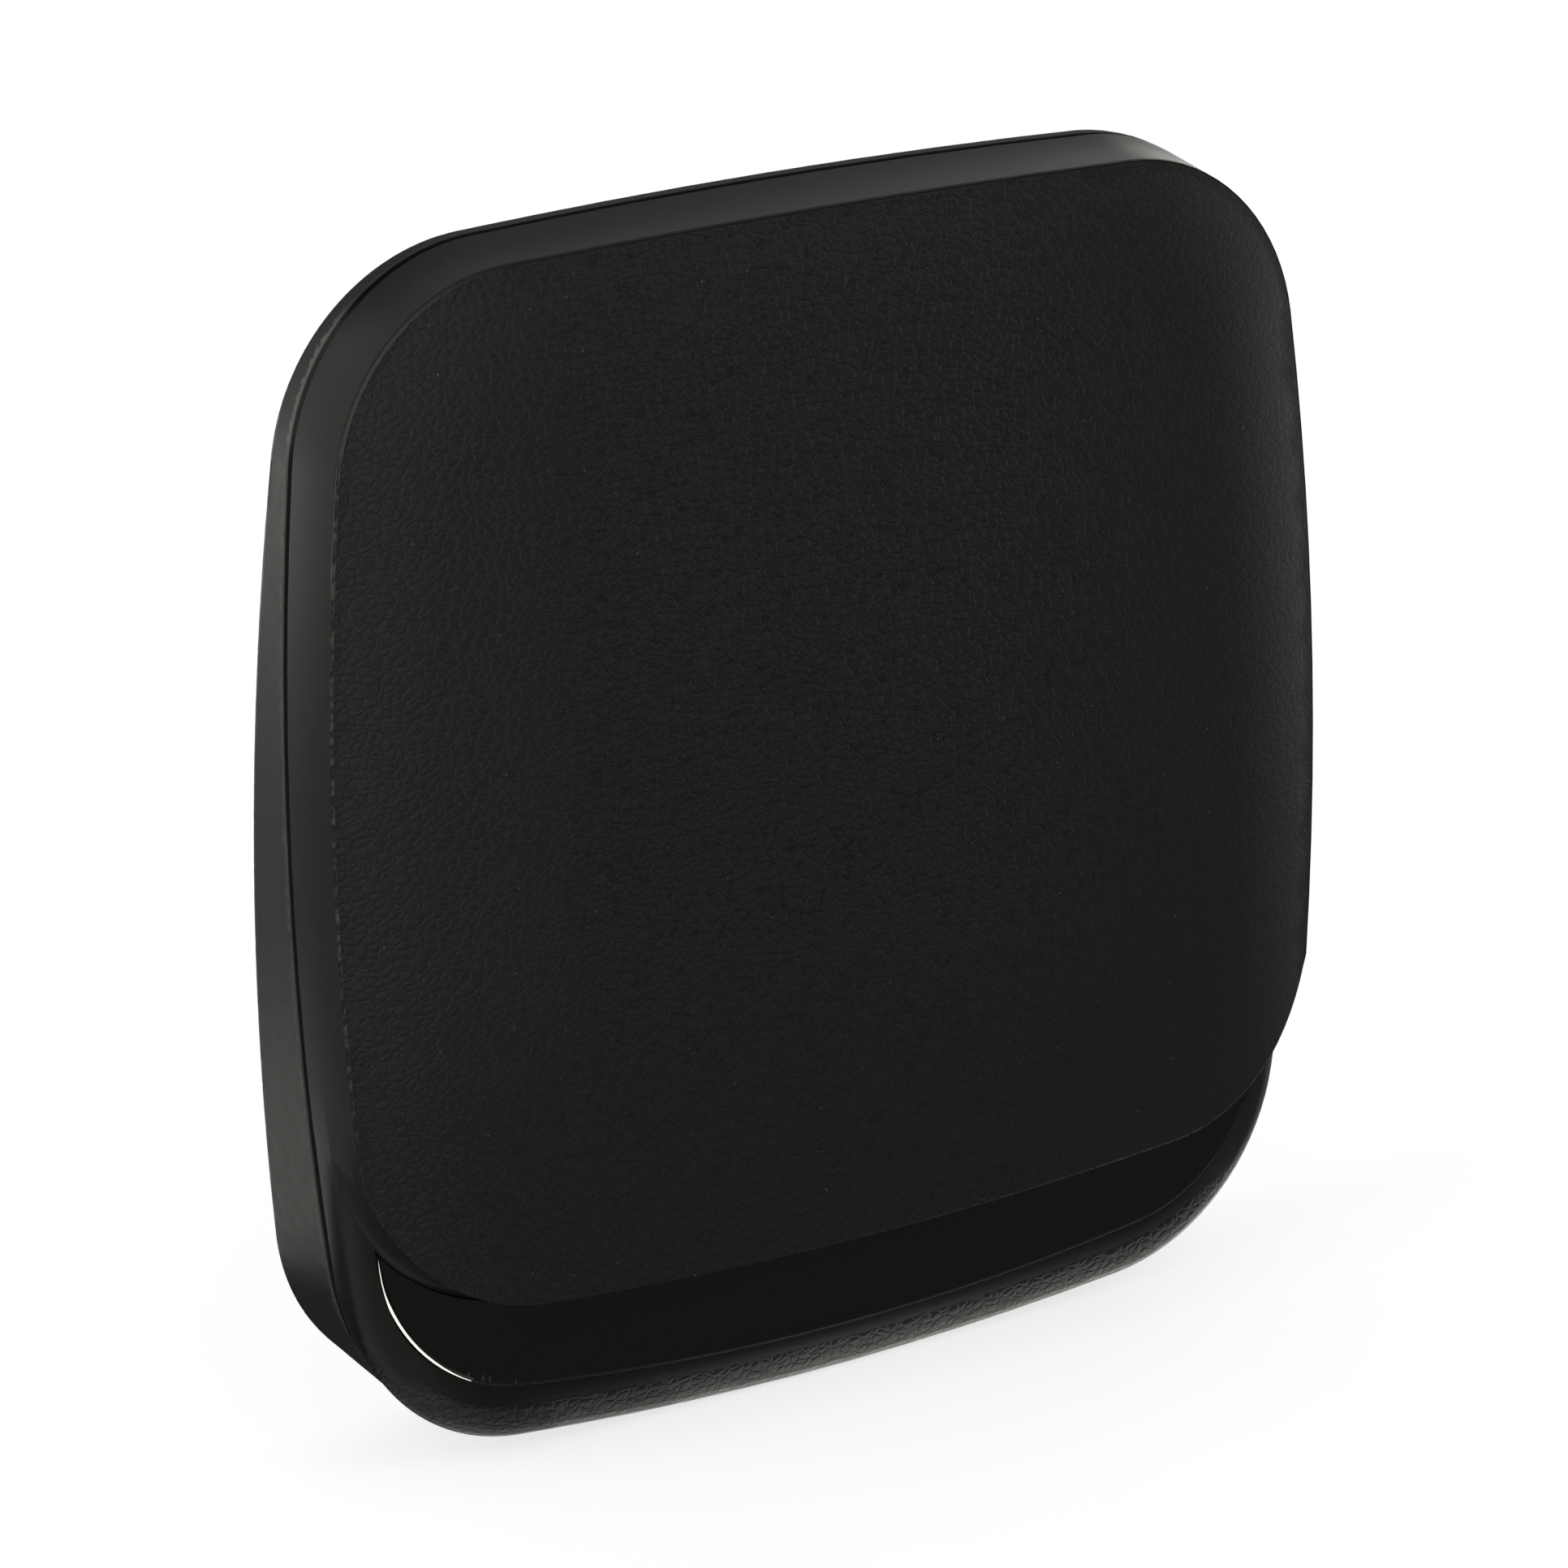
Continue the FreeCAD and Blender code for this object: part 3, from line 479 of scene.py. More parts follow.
def front_moulding(settings):
    """Black moulding with a leather grain on the pad and the lip, satin elsewhere."""
    s = Shader("moulded_front")
    place, normal = s.body()
    x, y, z = s.split(place)
    facing = s.math("MULTIPLY", s.split(normal)[1], -1.0)
    pad = s.times(s.ramp(y, 0.02, -0.06), s.ramp(facing, 0.3, 0.6))
    rounded = s.ramp(s.add("Attribute", attribute_name="lip").outputs["Fac"], 0.5, 0.75)
    lip = s.times(s.ramp(z, -72.0, -84.0), s.ramp(y, 7.5, 8.5),
                  s.math("MAXIMUM", rounded, s.ramp(facing, 0.95, 0.85)))
    # Painted shade in the groove along the pad's top edge; the same mask also bumps the groove in.
    groove_shade = s.times(s.ramp(s.math("ABSOLUTE", s.math("SUBTRACT", y, SEAM_Y)), 0.22, 0.04),
                   s.ramp(z, 45.0, 75.0), s.ramp(facing, 0.6, 0.4))
    # Painted shade below the pad's overhang, above the chin; it is also rougher there.
    overhang_shade = s.times(s.ramp(z, -38.0, -48.0), s.ramp(y, 0.1, 0.3), s.ramp(y, 2.4, 1.0))
    hollow = s.times(s.ramp(z, -30.0, -40.0), s.ramp(y, 0.1, 0.4), s.ramp(y, 8.0, 7.2))

    # The grain is deepest on the lip, and fades on the pad to the right and below.
    cell, uneven = grain_cells(s, place, settings.cell)
    fine = s.noise(place, 3.5)
    height = s.weigh((s.ramp(cell, 0.0, 0.13), 0.42), (s.ramp(cell, 0.0, 0.45), 0.38), (fine, 0.4))
    faded = s.times(pad, s.ramp(x, 15.0, 80.0, 1.0, 0.3), s.ramp(z, -10.0, -60.0, 1.0, 0.6))
    across = s.math("MULTIPLY", s.math("SUBTRACT", y, BAND_MIDDLE), 1 / BAND_MIDDLE)
    dome = s.times(across, across, s.ramp(facing, 0.5, 0.2, 0.0, -1.0))
    satin = s.bump(s.noise(place, 9.0, 1.0), 0.000006, 0.6, s.bump(dome, 0.00035))
    satin = s.bump(groove_shade, -0.0003, 1.0, satin)
    deep = s.weigh((faded, 1.0), (lip, 1.5))
    s.set(Normal=s.bump(s.times(height, deep), settings.depth, 1.0, satin))

    # Painted shade darkens the creases, and on the left of the pad a painted highlight makes them pale.
    patch = s.noise(place, 0.35, 3.0)
    colour = s.mix(patch, shade(settings.colour, 0.85), shade(settings.colour, 1.15))
    colour = s.mix(pad, colour, s.mix(patch, shade(settings.pad, 0.9), shade(settings.pad, 1.1)))
    pale = s.times(s.ramp(x, -48.0, -78.0), s.ramp(z, -55.0, -15.0))
    crease_shade = s.times(s.ramp(cell, 0.15, 0.02), s.math("MAXIMUM", lip, faded), s.math("SUBTRACT", 1.0, pale))
    colour = s.mix(crease_shade, colour, shade(settings.pad, 0.1))
    crease_highlight = s.times(s.ramp(cell, 0.07, 0.0), pad, pale)
    colour = s.mix(crease_highlight, colour, shade(settings.pad, 1.8))
    # Wear and painted highlight along the pad's left side and lower right edge.
    colour = s.mix(lit_rubbed_edges(s, place, pad, uneven, fine), colour, settings.worn_highlight)
    colour = s.mix(dust_specks(s, place, pad), colour, settings.dust)
    # Painted shade in the groove along the pad's top edge.
    colour = s.mix(groove_shade, colour, SHADE)
    # Painted shade below the pad's overhang.
    colour = s.mix(s.math("MULTIPLY", overhang_shade, 0.92), colour, SHADE)
    # Each nick in the parting line is drawn as a spot of painted shade.
    for centre, half in SHADED_NICKS:
        colour = s.mix(s.spot(place, centre, half), colour, SHADE)

    rough = s.blend(s.math("MAXIMUM", pad, lip), 0.36, 0.44)
    rough = s.blend(overhang_shade, s.blend(hollow, rough, 0.55), 0.75)
    rough = s.math("ADD", rough, s.math("MULTIPLY", s.math("SUBTRACT", patch, 0.5), 0.08))
    s.set(Base_Color=colour, Roughness=rough, Specular_IOR_Level=0.22)
    return s.material


def rear_moulding(settings):
    """Black moulding with a fine even texture, and a painted highlight along the left of the groove."""
    s = Shader("moulded_rear")
    place = s.place()
    patch = s.noise(place, 0.3, 3.0)
    colour = s.mix(patch, shade(settings.colour, 0.85), shade(settings.colour, 1.2))
    upright = s.body()[0]
    x, y, z = s.split(upright)
    ragged = s.math("SUBTRACT", y, s.ramp(s.noise(upright, 0.6, 5.0, 0.75), 0.3, 0.8, 0.0, 1.6))
    corner = s.times(s.ramp(x, -70.0, -80.0), s.ramp(z, 66.0, 74.0), s.ramp(z, 94.0, 88.0))
    side = s.times(s.ramp(x, -88.0, -94.0, 0.0, 0.3), s.ramp(z, -80.0, -70.0))
    # Painted highlight along the groove's edge, at the upper left corner and low on the left side.
    groove_highlight = s.times(s.ramp(ragged, 13.3, 13.1), s.math("MAXIMUM", corner, side))
    s.set(Base_Color=s.mix(groove_highlight, colour, settings.groove_highlight), Roughness=s.ramp(patch, 0.2, 0.8, 0.36, 0.44),
          Normal=s.bump(s.noise(place, 7.0, 3.0), settings.texture), Specular_IOR_Level=0.3)
    return s.material


def plate_gloss(settings):
    """Polished black plate with fine ticks along its lower edge."""
    s = Shader("plate_gloss")
    place = s.place()
    haze = s.noise(place, 0.4, 3.0)
    colour = s.mix(haze, shade(settings.colour, 0.8), shade(settings.colour, 1.3))
    upright = s.body()[0]
    for x, z in PLATE_TICKS:
        colour = s.mix(s.spot(upright, (x, TICK_Y, z), TICK_HALF), colour, settings.tick)
    s.set(Base_Color=colour, Roughness=s.ramp(haze, 0.3, 0.8, 0.14, 0.19),
          Normal=s.bump(s.noise(place, 0.06, 1.0), 0.0002, 0.3), IOR=1.3)
    return s.material


def plate_edge(settings):
    """Bevel of the plate's left arc: a dark mirror with a painted highlight, a pale mirror band along its foot that
    is widest halfway along.
    """
    s = Shader("plate_edge")
    place = s.body()[0]
    x, y, z = s.split(place)
    along = s.times(s.ramp(z, -61.0, -74.0), s.ramp(x, -73.5, -82.0))
    width = s.weigh((along, 0.22), (s.ramp(z, -71.0, -64.0), 0.3), (1.0, 0.14))
    # The pale mirror band is a painted highlight; the rest of the bevel is a dark mirror.
    highlight_band = s.ramp(s.math("ADD", y, width), *BEVEL_HIGHLIGHT)
    s.set(Base_Color=s.mix(highlight_band, (0.004, 0.004, 0.004), settings.edge),
          Roughness=s.ramp(s.noise(place, 0.5), 0.2, 0.8, 0.05, 0.12), Metallic=1.0)
    return s.material


def plate_cut(settings):
    """Dull cut edge of the plate, with painted light that makes its top paler, and a fine painted highlight line near
    the foot of the bevel.
    """
    s = Shader("plate_cut")
    place, normal = s.body()
    # A fine painted highlight line near the foot of the bevel, and painted light on faces that look up.
    line = s.times(s.ramp(s.split(place)[1], *GLINT_LINE), s.ramp(s.noise(place, 0.7, 3.0), 0.35, 0.6))
    lit_top = s.ramp(s.split(normal)[2], 0.3, 0.6)
    colour = s.mix(lit_top, (0.011, 0.011, 0.0105), shade(settings.edge, 0.05))
    s.set(Base_Color=s.mix(line, colour, shade(settings.edge, 0.07)),
          Roughness=s.ramp(s.noise(place, 3.0), 0.2, 0.8, 0.6, 0.8), Specular_IOR_Level=0.05)
    return s.material


def plated(name, colour, roughness, streak=(1.0, 1.0, 1.0), spread=0.1):
    """Plated metal with fine marks that may run one way."""
    s = Shader(name)
    marks = s.noise(s.place(streak), 6.0, 4.0, 0.6)
    cloud = s.noise(s.place(), 0.25, 3.0)
    s.set(Base_Color=s.mix(cloud, shade(colour, 0.86), shade(colour, 1.05)),
          Roughness=s.ramp(marks, 0.25, 0.75, roughness - spread / 2, roughness + spread),
          Normal=s.bump(marks, 0.000004), Metallic=1.0)
    return s.material


def plain_plastic(name, dark, light, roughness, grain=5.0, depth=0.00001):
    """Dull plastic, rubber or ceramic with a mottled colour and a fine grain."""
    s = Shader(name)
    place = s.place()
    mottle = s.noise(place, 0.6, 4.0)
    s.set(Base_Color=s.mix(s.ramp(mottle, 0.25, 0.75), dark, light),
          Roughness=s.ramp(mottle, 0.2, 0.8, roughness - 0.05, roughness + 0.06),
          Normal=s.bump(s.noise(place, grain, 3.0), depth))
    return s.material


def board_laminate():
    """Green masked laminate with tracks and a faint weave."""
    s = Shader("board_laminate")
    place = s.place()
    cells = s.add("TexVoronoi", {"Vector": place, "Scale": 0.33, "Randomness": 0.35},
                  feature="F1", distance="CHEBYCHEV")
    track = s.ramp(s.math("PINGPONG", cells.outputs["Distance"], 0.16), 0.06, 0.1)
    weave = s.noise(place, 3.0, 3.0)
    mask = s.mix(track, (0.004, 0.045, 0.014), (0.012, 0.11, 0.035))
    s.set(Base_Color=s.mix(s.ramp(weave, 0.3, 0.9, 0.0, 0.5), mask, (0.01, 0.07, 0.025)),
          Roughness=s.ramp(weave, 0.2, 0.8, 0.26, 0.36), Normal=s.bump(track, 0.00004))
    return s.material


class ANTENNA_OT_front_case(bpy.types.Operator):
    """Gives the front case its grained and satin finish"""

    bl_idname = "antenna.front_case"
    bl_label = "Front case"

    def execute(self, context):
        finish = front_moulding(context.scene.antenna_front)
        mesh = softened("front_housing", "front_case", SMOOTH_LIMIT)
        keep(mesh, "front_case", finish, "front_housing")
        return {"FINISHED"}


class ANTENNA_OT_rear_case(bpy.types.Operator):
    """Gives the rear case its fine texture"""

    bl_idname = "antenna.rear_case"
    bl_label = "Rear case"

    def execute(self, context):
        dress("rear_housing", rear_moulding(context.scene.antenna_rear))
        return {"FINISHED"}


class ANTENNA_OT_chin_plate(bpy.types.Operator):
    """Polishes the chin plate and finishes the film behind it"""

    bl_idname = "antenna.chin_plate"
    bl_label = "Chin plate"

    def execute(self, context):
        settings = context.scene.antenna_plate
        mesh = merged("chin_plate", "chin_inlay")[0]
        for finish in (plate_gloss, plate_edge, plate_cut):
            mesh.materials.append(finish(settings))
        for face in mesh.polygons:
            forward = face.normal.dot(FRONT)
            bevel = 0.5 < forward < 0.9
            upper_wall = abs(forward) < 0.1 and face.normal.z > UPWARD
            if bevel or upper_wall:
                # Only the left arc of the bevel takes the painted highlight of plate_edge; the rest takes the dull
                # cut finish.
                lit = face.center.x < LEFT_ARC_END and face.normal.z < UPWARD
                face.material_index = 1 if lit else 2
        keep(mesh, "chin_inlay", None, "chin_plate")
        dress("plate_film", plain_plastic("film_clear", (0.5, 0.46, 0.36), (0.6, 0.57, 0.48), 0.35))
        return {"FINISHED"}


def turned(rows, columns, radius_at):
    """Closed ring mesh about the outlet's axis; rows are places along it, radius_at gives each point's radius."""
    bm = bmesh.new()
    rings = []
    for i, along in enumerate(rows):
        ring = []
        for k in range(columns):
            turn = 2 * math.pi * k / columns
            r = radius_at(i, along, turn)
            ring.append(bm.verts.new((r * math.cos(turn), along, OUTLET_Z + r * math.sin(turn))))
        rings.append(ring)
    for first, second in zip(rings, rings[1:] + rings[:1]):
        for k in range(columns):
            n = (k + 1) % columns
            bm.faces.new((first[k], first[n], second[n], second[k]))
    bmesh.ops.recalc_face_normals(bm, faces=bm.faces)
    mesh = bpy.data.meshes.new("turned")
    bm.to_mesh(mesh)
    bm.free()
    mesh.shade_smooth()
    mesh.set_sharp_from_angle(angle=math.radians(32))
    return mesh


class ANTENNA_OT_outlet(bpy.types.Operator):
    """Cuts the outlet's thread and finishes its barrel, nut, washer, insulation and contact"""

    bl_idname = "antenna.outlet"
    bl_label = "Outlet"

    def execute(self, context):
        settings = context.scene.antenna_outlet
        low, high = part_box("socket_body")
        start, end = low.y, high.y
        shoulder_r = (high.x - low.x) / 2
        root_r = CREST_R - settings.depth
        shoulder_end = start + SHOULDER
        thread_start = end - THREAD
        step = settings.pitch / STEPS_A_TURN
        count = int((end - RUN_OUT - thread_start) / step)
        profile = [(start, BORE_R), (start, shoulder_r), (shoulder_end, shoulder_r), (shoulder_end, NECK_R),
                   (thread_start, NECK_R), (thread_start, root_r)]
        plain = len(profile)
        profile += [(thread_start + CHAMFER + step * k, CREST_R) for k in range(count)]
        threaded = len(profile)
        profile += [(end - END_TAPER, root_r), (end, root_r - CHAMFER), (end, BORE_R + CHAMFER),
                    (end - CHAMFER, BORE_R)]

        def radius_at(i, along, turn):
            if not plain <= i < threaded:
                return profile[i][1]
            phase = (along / settings.pitch - turn / (2 * math.pi)) % 1.0
            ridge = min(1.0, max(0.0, 1.35 - 2.7 * abs(phase - 0.5)))
            fade = min(1.0, (threaded - 1 - i) / STEPS_A_TURN, (i - plain) / LEAD_IN)
            return root_r + settings.depth * ridge * fade

        nickel = plated("nickel_turned", (0.62, 0.6, 0.55), 0.2, (1, 6, 1))
        mesh = turned([p[0] for p in profile], settings.columns, radius_at)
        keep(mesh, "outlet_barrel", nickel, "socket_body")
        dress("socket_nut", nickel)
        dress("socket_washer", plated("washer_zinc", (0.6, 0.6, 0.6), 0.3))
        dress("socket_insulator", plain_plastic("insulation_white", (0.62, 0.61, 0.57), (0.7, 0.69, 0.65), 0.38))
        dress("socket_contact", plated("contact_gilt", (0.78, 0.56, 0.25), 0.22))
        return {"FINISHED"}


class GeometryTree(Nodes):
    """A geometry tree with named inputs and short calls for its nodes."""

    prefix = "GeometryNode"

    def __init__(self, name, inputs):
        self.tree = bpy.data.node_groups.new(name, "GeometryNodeTree")
        self.tree.interface.new_socket("Geometry", in_out="INPUT", socket_type="NodeSocketGeometry")
        self.tree.interface.new_socket("Geometry", in_out="OUTPUT", socket_type="NodeSocketGeometry")
        for label, kind in inputs:
            self.tree.interface.new_socket(label, in_out="INPUT", socket_type="NodeSocket" + kind)
        self.inputs = self.tree.nodes.new("NodeGroupInput").outputs
        self.result = self.tree.nodes.new("NodeGroupOutput").inputs[0]

    def vector(self, x=0.0, y=0.0, z=0.0):
        """A vector of three values."""
        return self.make("ShaderNodeCombineXYZ", {0: x, 1: y, 2: z}).outputs[0]

    def raise_by(self, geometry, height):
        """Geometry moved along its axis."""
        return self.add("Transform", {"Geometry": geometry, "Translation": self.vector(z=height)}).outputs[0]

    def join(self, parts):
        """Geometries joined."""
        return self.add("JoinGeometry", {0: parts}).outputs[0]


def screw_head(t, radius, height):
    """Domed head with a cross recess."""
    rings = []
    for (low, wide), (high, narrow) in zip(HEAD_PROFILE, HEAD_PROFILE[1:]):
        cone = t.add("MeshCone", {"Vertices": HEAD_SIDES, "Radius Bottom": t.times(radius, wide),
                                  "Radius Top": t.times(radius, narrow), "Depth": t.times(height, high - low)},
                     fill_type="NONE")
        rings.append(t.raise_by(cone.outputs["Mesh"], t.times(height, low)))
    floor = t.add("MeshCircle", {"Vertices": HEAD_SIDES, "Radius": radius}, fill_type="NGON").outputs[0]
    roof_r = t.times(radius, HEAD_PROFILE[-1][1])
    roof = t.add("MeshCircle", {"Vertices": HEAD_SIDES, "Radius": roof_r}, fill_type="NGON").outputs[0]
    rings += [t.add("FlipFaces", {0: floor}).outputs[0], t.raise_by(roof, height)]
    head = t.add("MergeByDistance", {"Geometry": t.join(rings), "Distance": 1e-6}).outputs[0]
    wide = t.times(radius, t.inputs["Recess"])
    thin = t.times(radius, t.inputs["Recess slot"])
    deep = t.times(height, 1.3)
    bars = []
    for size in (t.vector(wide, thin, deep), t.vector(thin, wide, deep)):
        bars.append(t.raise_by(t.add("MeshCube", {"Size": size}).outputs[0], height))
    cross = t.add("MeshBoolean", {"Mesh 2": bars}, operation="UNION").outputs[0]
    return t.add("MeshBoolean", {"Mesh 1": head, "Mesh 2": cross}, operation="DIFFERENCE").outputs[0]


def screw_shank(t, radius, length):
    """Core, tip and thread of the shank, below the head."""
    root = t.times(radius, t.math("SUBTRACT", 1.0, t.inputs["Thread"]))
    straight = t.math("SUBTRACT", length, radius)
    core = t.add("MeshCylinder", {"Vertices": SHANK_SIDES, "Radius": root, "Depth": straight}).outputs["Mesh"]
    tip = t.add("MeshCone", {"Vertices": SHANK_SIDES, "Radius Bottom": t.times(root, 0.3), "Radius Top": root,
                             "Depth": radius}).outputs["Mesh"]
    pitch = t.times(radius, 0.75)
    run = t.math("SUBTRACT", straight, t.times(pitch, 1.5))
    helix = t.add("CurveSpiral", {"Resolution": 20, "Rotations": t.math("DIVIDE", run, pitch),
                                  "Start Radius": root, "End Radius": root, "Height": run}).outputs[0]
    ridge = t.add("CurvePrimitiveCircle", {"Resolution": 3, "Radius": t.times(radius, t.inputs["Thread"])},
                  mode="RADIUS").outputs[0]
    thread = t.add("CurveToMesh", {"Curve": helix, "Profile Curve": ridge, "Fill Caps": True}).outputs[0]
    return [t.raise_by(core, t.times(straight, -0.5)), t.raise_by(tip, t.times(length, -1.0)),
            t.raise_by(thread, t.times(straight, -1.0))]


def screw_tree():
    """Tree that sets a cross-recessed, threaded screw on each point of a mesh."""
    floats = [(label, "Float") for label in (*SCREW_LABELS, "Recess", "Recess slot", "Thread")]
    t = GeometryTree("cross_recess_screw", [*floats, ("Turn", "Rotation"), ("Finish", "Material")])
    head_r, head_h, shank_r, length = (t.inputs[label] for label in SCREW_LABELS)
    one = t.join([screw_head(t, head_r, head_h), *screw_shank(t, shank_r, length)])
    points = t.add("MeshToPoints", {"Mesh": t.inputs["Geometry"]}).outputs[0]
    placed = t.add("InstanceOnPoints", {"Points": points, "Instance": one, "Rotation": t.inputs["Turn"]}).outputs[0]
    real = t.add("RealizeInstances", {0: placed}).outputs[0]
    t.put(t.result, t.add("SetMaterial", {"Geometry": real, "Material": t.inputs["Finish"]}).outputs[0])
    return t.tree


def grown(name, places, tree, values):
    """Plain mesh that a geometry tree makes on a set of points."""
    seeds = bpy.data.meshes.new(name)
    seeds.from_pydata(places, [], [])
    carrier = bpy.data.objects.new(name + "_seeds", seeds)
    bpy.context.scene.collection.objects.link(carrier)
    modifier = carrier.modifiers.new("tree", "NODES")
    modifier.node_group = tree
    for item in tree.interface.items_tree:
        if item.in_out == "INPUT" and item.name in values:
            modifier[item.identifier] = values[item.name]
    graph = bpy.context.evaluated_depsgraph_get()
    mesh = bpy.data.meshes.new_from_object(carrier.evaluated_get(graph), depsgraph=graph)
    carrier.modifiers.remove(modifier)
    bpy.data.objects.remove(carrier)
    bpy.data.meshes.remove(seeds)
    mesh.name = name
    mesh.shade_smooth()
    mesh.set_sharp_from_angle(angle=math.radians(35))
    return mesh


class ANTENNA_OT_screws(bpy.types.Operator):
    """Sets the cross-recessed screws of the case, the elements and the board"""

    bl_idname = "antenna.screws"
    bl_label = "Screws"

    def execute(self, context):
        settings = context.scene.antenna_screws
        tree = screw_tree()
        steel = plated("screw_zinc", (0.5, 0.5, 0.52), 0.28)
        rear = (-math.pi / 2 - LEAN, 0.0, 0.0)
        front = (math.pi / 2, 0.0, 0.0)
        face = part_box("amplifier_board")[0].y
        groups = [("case", [stand(*place) for place in CASE_SCREWS], rear),
                  ("element", [stand(*place) for place in ELEMENT_SCREWS], rear),
                  ("board", [Vector((x, face, z)) for x, z in BOARD_SCREWS], front)]
        for kind, places, turn in groups:
            values = {label: size / MM for label, size in zip(SCREW_LABELS, SCREW_SIZES[kind])}
            values.update({"Recess": settings.recess, "Recess slot": settings.slot_width, "Thread": settings.thread,
                           "Turn": turn, "Finish": steel})
            name = kind + "_screw_set"
            mesh = grown(name, places, tree, values)
            if not mesh.polygons:
                raise RuntimeError(name + " came out empty")
            keep(mesh, name, steel, kind + "_screws")
        return {"FINISHED"}


class ANTENNA_OT_feet(bpy.types.Operator):
    """Finishes the rubber feet"""

    bl_idname = "antenna.feet"
    bl_label = "Feet"

    def execute(self, context):
        rubber = plain_plastic("foot_rubber", (0.012, 0.012, 0.012), (0.024, 0.024, 0.023), 0.75, 3.0, 0.00003)
        dress("rubber_feet", rubber)
        return {"FINISHED"}


class ANTENNA_OT_elements(bpy.types.Operator):
    """Finishes the receiving loops and their leads"""

    bl_idname = "antenna.elements"
    bl_label = "Elements"

    def execute(self, context):
        sheet = plated("element_sheet", (0.66, 0.67, 0.68), 0.32, (1, 1, 0.06), 0.16)
        dress("right_element", sheet)
        dress("left_element", sheet)
        dress("feed_leads", plain_plastic("lead_cover", (0.28, 0.022, 0.022), (0.36, 0.032, 0.03), 0.45))
        return {"FINISHED"}


class ANTENNA_OT_electronics(bpy.types.Operator):
    """Finishes the board and the parts soldered to it"""

    bl_idname = "antenna.electronics"
    bl_label = "Electronics"

    def execute(self, context):
        tinned = plated("tinned_sheet", (0.68, 0.68, 0.66), 0.3, (1, 1, 0.15), 0.14)
        dress("amplifier_board", board_laminate())
        dress("shield_frame", tinned)
        dress("shield_lid", tinned)
        dress("balun_core", plain_plastic("ferrite_grey", (0.03, 0.03, 0.032), (0.055, 0.055, 0.055), 0.6))
        dress("choke", plain_plastic("choke_ferrite", (0.028, 0.027, 0.026), (0.05, 0.048, 0.046), 0.55))
        dress("capacitor", plain_plastic("capacitor_sleeve", (0.065, 0.075, 0.17), (0.085, 0.095, 0.21), 0.32))
        return {"FINISHED"}


def lamp(name, place, target, width, height, power):
    """A rectangular soft light aimed at a point."""
    data = bpy.data.lights.new(name, "AREA")
    data.shape = "RECTANGLE"
    data.size = width
    data.size_y = height
    data.energy = power
    data.color = SOFT
    light = bpy.data.objects.new(name, data)
    light.location = place
    light.rotation_euler = (Vector(target) - Vector(place)).to_track_quat("-Z", "Y").to_euler()
    bpy.context.scene.collection.objects.link(light)


def card(name, corners, level):
    """A card outside the picture, which only the gloss of the object shows."""
    mesh = bpy.data.meshes.new(name)
    mesh.from_pydata(corners, [], [(0, 1, 2, 3)])
    piece = bpy.data.objects.new(name, mesh)
    bpy.context.scene.collection.objects.link(piece)
    s = Shader(name)
    s.show(s.add("Emission", {"Color": shade(SOFT, level), "Strength": 1.0}).outputs[0])
    mesh.materials.append(s.material)
    piece.visible_camera = False
    piece.visible_diffuse = False
    piece.visible_shadow = False
    piece.visible_transmission = False


def floor_card(name, across, back, height, level):
    """A card that lies on the floor."""
    (left, right), (near, far) = across, back
    card(name, [(left, near, height), (right, near, height), (right, far, height), (left, far, height)], level)


def wall_card(name, across, back, rise, level):
    """A card that stands upright."""
    (left, right), (low, high) = across, rise
    card(name, [(left, back, low), (right, back, low), (right, back, high), (left, back, high)], level)


def seen_directly(tree):
    """Value that is one for camera, glossy and transmitted rays."""
    path = tree.nodes.new("ShaderNodeLightPath")
    total = path.outputs["Is Camera Ray"]
    for name in ("Is Glossy Ray", "Is Transmission Ray"):
        most = tree.nodes.new("ShaderNodeMath")
        most.operation = "MAXIMUM"
        tree.links.new(total, most.inputs[0])
        tree.links.new(path.outputs[name], most.inputs[1])
        total = most.outputs[0]
    return total


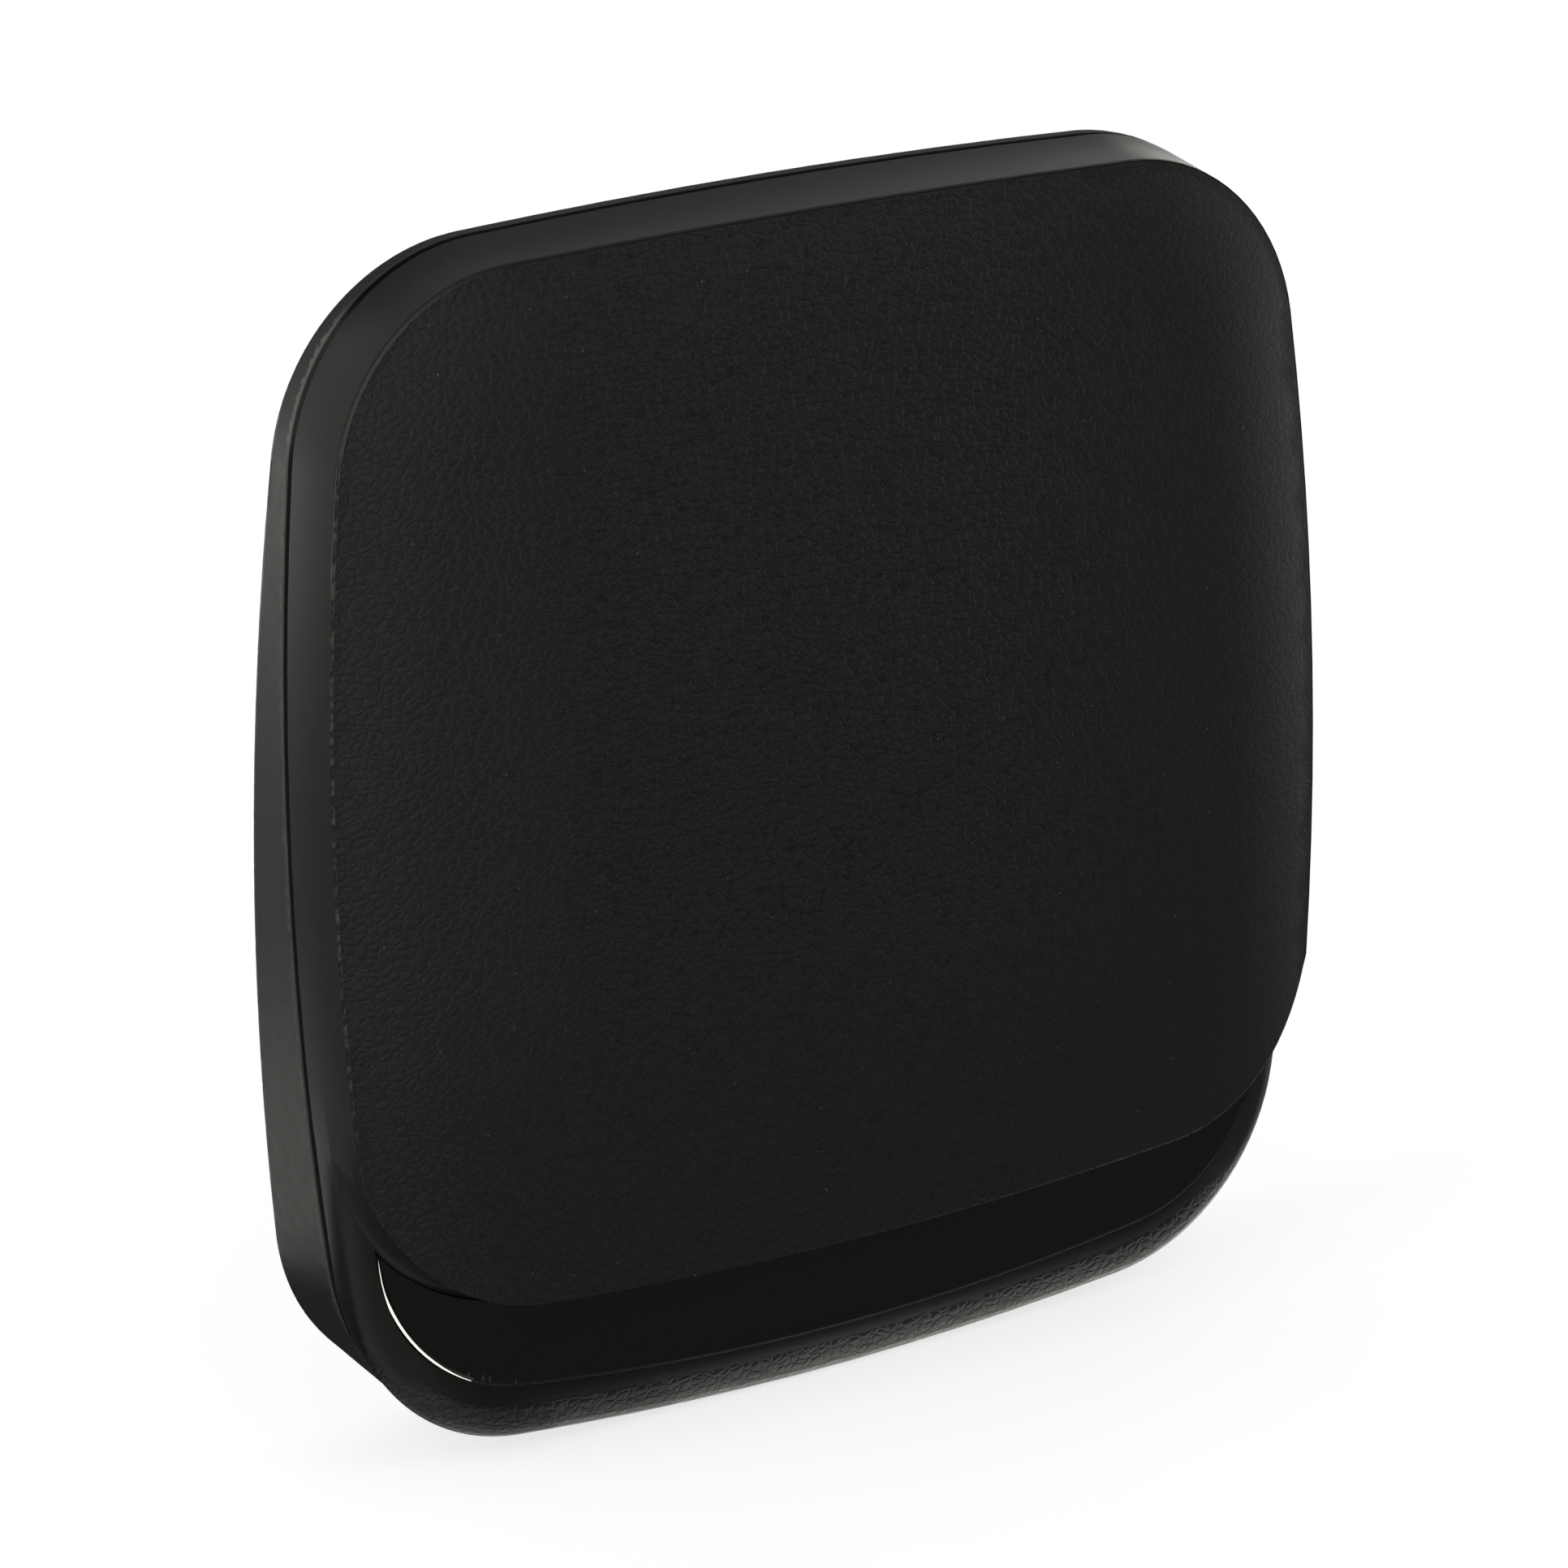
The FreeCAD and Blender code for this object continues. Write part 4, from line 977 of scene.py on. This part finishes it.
class ANTENNA_OT_stage(bpy.types.Operator):
    """Sets the camera, the floor, the lights and the white surroundings"""

    bl_idname = "antenna.stage"
    bl_label = "Stage"

    def execute(self, context):
        settings = context.scene.antenna_stage
        scene = context.scene
        scene.view_settings.view_transform = "Standard"
        self.camera(scene, settings)
        self.surroundings(scene, settings)
        self.floor(scene)
        for row in LAMPS:
            lamp(*row)
        for row in FLOOR_CARDS:
            floor_card(*row)
        for row in WALL_CARDS:
            wall_card(*row)
        for i, level in enumerate(UNDER_LEVELS):
            left = UNDER_LEFT + UNDER_WIDTH * i
            floor_card("under_light_%d" % i, (left, left + UNDER_WIDTH), UNDER_BACK, RAISED, level)
        card("low_left_light", [(x, y, TOP) for x, y in LOW_LEFT_LIGHT], LOW_LEFT_LEVEL)
        return {"FINISHED"}

    def camera(self, scene, settings):
        """Camera that sees the antenna from the left, in front and above."""
        eye, target = Vector(settings.eye), Vector(settings.target)
        data = bpy.data.cameras.new("camera")
        data.lens = settings.lens
        data.sensor_width = 36.0
        camera = bpy.data.objects.new("camera", data)
        turn = (target - eye).to_track_quat("-Z", "Y").to_matrix() @ Matrix.Rotation(settings.roll, 3, "Z")
        camera.matrix_world = Matrix.Translation(eye) @ turn.to_4x4()
        scene.collection.objects.link(camera)
        scene.camera = camera

    def surroundings(self, scene, settings):
        """White for what is seen, softer for what lights the object."""
        world = bpy.data.worlds.new("surroundings")
        world.use_nodes = True
        scene.world = world
        tree = world.node_tree
        fill = tree.nodes["Background"]
        white = tree.nodes.new("ShaderNodeBackground")
        for background, strength in ((fill, settings.fill), (white, 1.0)):
            background.inputs["Color"].default_value = (1, 1, 1, 1)
            background.inputs["Strength"].default_value = strength
        mix = tree.nodes.new("ShaderNodeMixShader")
        tree.links.new(seen_directly(tree), mix.inputs[0])
        tree.links.new(fill.outputs[0], mix.inputs[1])
        tree.links.new(white.outputs[0], mix.inputs[2])
        tree.links.new(mix.outputs[0], tree.nodes["World Output"].inputs["Surface"])

    def floor(self, scene):
        """Pale floor that keeps the soft shadow and is clear from below."""
        mesh = bpy.data.meshes.new("floor")
        corners = [(x * FLOOR_HALF, y * FLOOR_HALF, 0) for x, y in ((-1, -1), (1, -1), (1, 1), (-1, 1))]
        mesh.from_pydata(corners, [], [(0, 1, 2, 3)])
        floor = bpy.data.objects.new("floor", mesh)
        scene.collection.objects.link(floor)
        s = Shader("floor_pale")
        glow = s.math("MULTIPLY", seen_directly(s.tree), FLOOR_GLOW)
        s.set(Base_Color=(0.5, 0.5, 0.5), Roughness=0.9, Specular_IOR_Level=0.0, Emission_Color=(1.0, 1.0, 1.0),
              Emission_Strength=glow)
        below = s.add("NewGeometry").outputs["Backfacing"]
        clear = s.add("BsdfTransparent").outputs[0]
        s.show(s.add("MixShader", {0: below, 1: s.surface.outputs[0], 2: clear}).outputs[0])
        mesh.materials.append(s.material)


class ANTENNA_PT_panel(bpy.types.Panel):
    """Lists the antenna's pieces and their settings"""

    bl_idname = "ANTENNA_PT_panel"
    bl_label = "Tabletop TV antenna"
    bl_space_type = "VIEW_3D"
    bl_region_type = "UI"
    bl_category = "Antenna"

    def draw(self, context):
        for operator in OPERATORS:
            self.layout.operator(operator.bl_idname)
        for name, group in SETTINGS.items():
            box = self.layout.box()
            for prop in group.__annotations__:
                box.prop(getattr(context.scene, name), prop)


SETTINGS = {
    "antenna_front": FrontCaseSettings,
    "antenna_rear": RearCaseSettings,
    "antenna_plate": PlateSettings,
    "antenna_outlet": OutletSettings,
    "antenna_screws": ScrewSettings,
    "antenna_stage": StageSettings,
}
OPERATORS = [ANTENNA_OT_front_case, ANTENNA_OT_rear_case, ANTENNA_OT_chin_plate, ANTENNA_OT_outlet,
             ANTENNA_OT_screws, ANTENNA_OT_feet, ANTENNA_OT_elements, ANTENNA_OT_electronics, ANTENNA_OT_stage]
CLASSES = [*SETTINGS.values(), *OPERATORS, ANTENNA_PT_panel]


def register():
    for cls in CLASSES:
        bpy.utils.register_class(cls)
    for name, group in SETTINGS.items():
        setattr(bpy.types.Scene, name, PointerProperty(type=group))


def unregister():
    for name in SETTINGS:
        delattr(bpy.types.Scene, name)
    for cls in reversed(CLASSES):
        bpy.utils.unregister_class(cls)


def main():
    register()
    bpy.ops.antenna.front_case()
    bpy.ops.antenna.rear_case()
    bpy.ops.antenna.chin_plate()
    bpy.ops.antenna.outlet()
    bpy.ops.antenna.screws()
    bpy.ops.antenna.feet()
    bpy.ops.antenna.elements()
    bpy.ops.antenna.electronics()
    bpy.ops.antenna.stage()


if __name__ == "__main__":
    main()
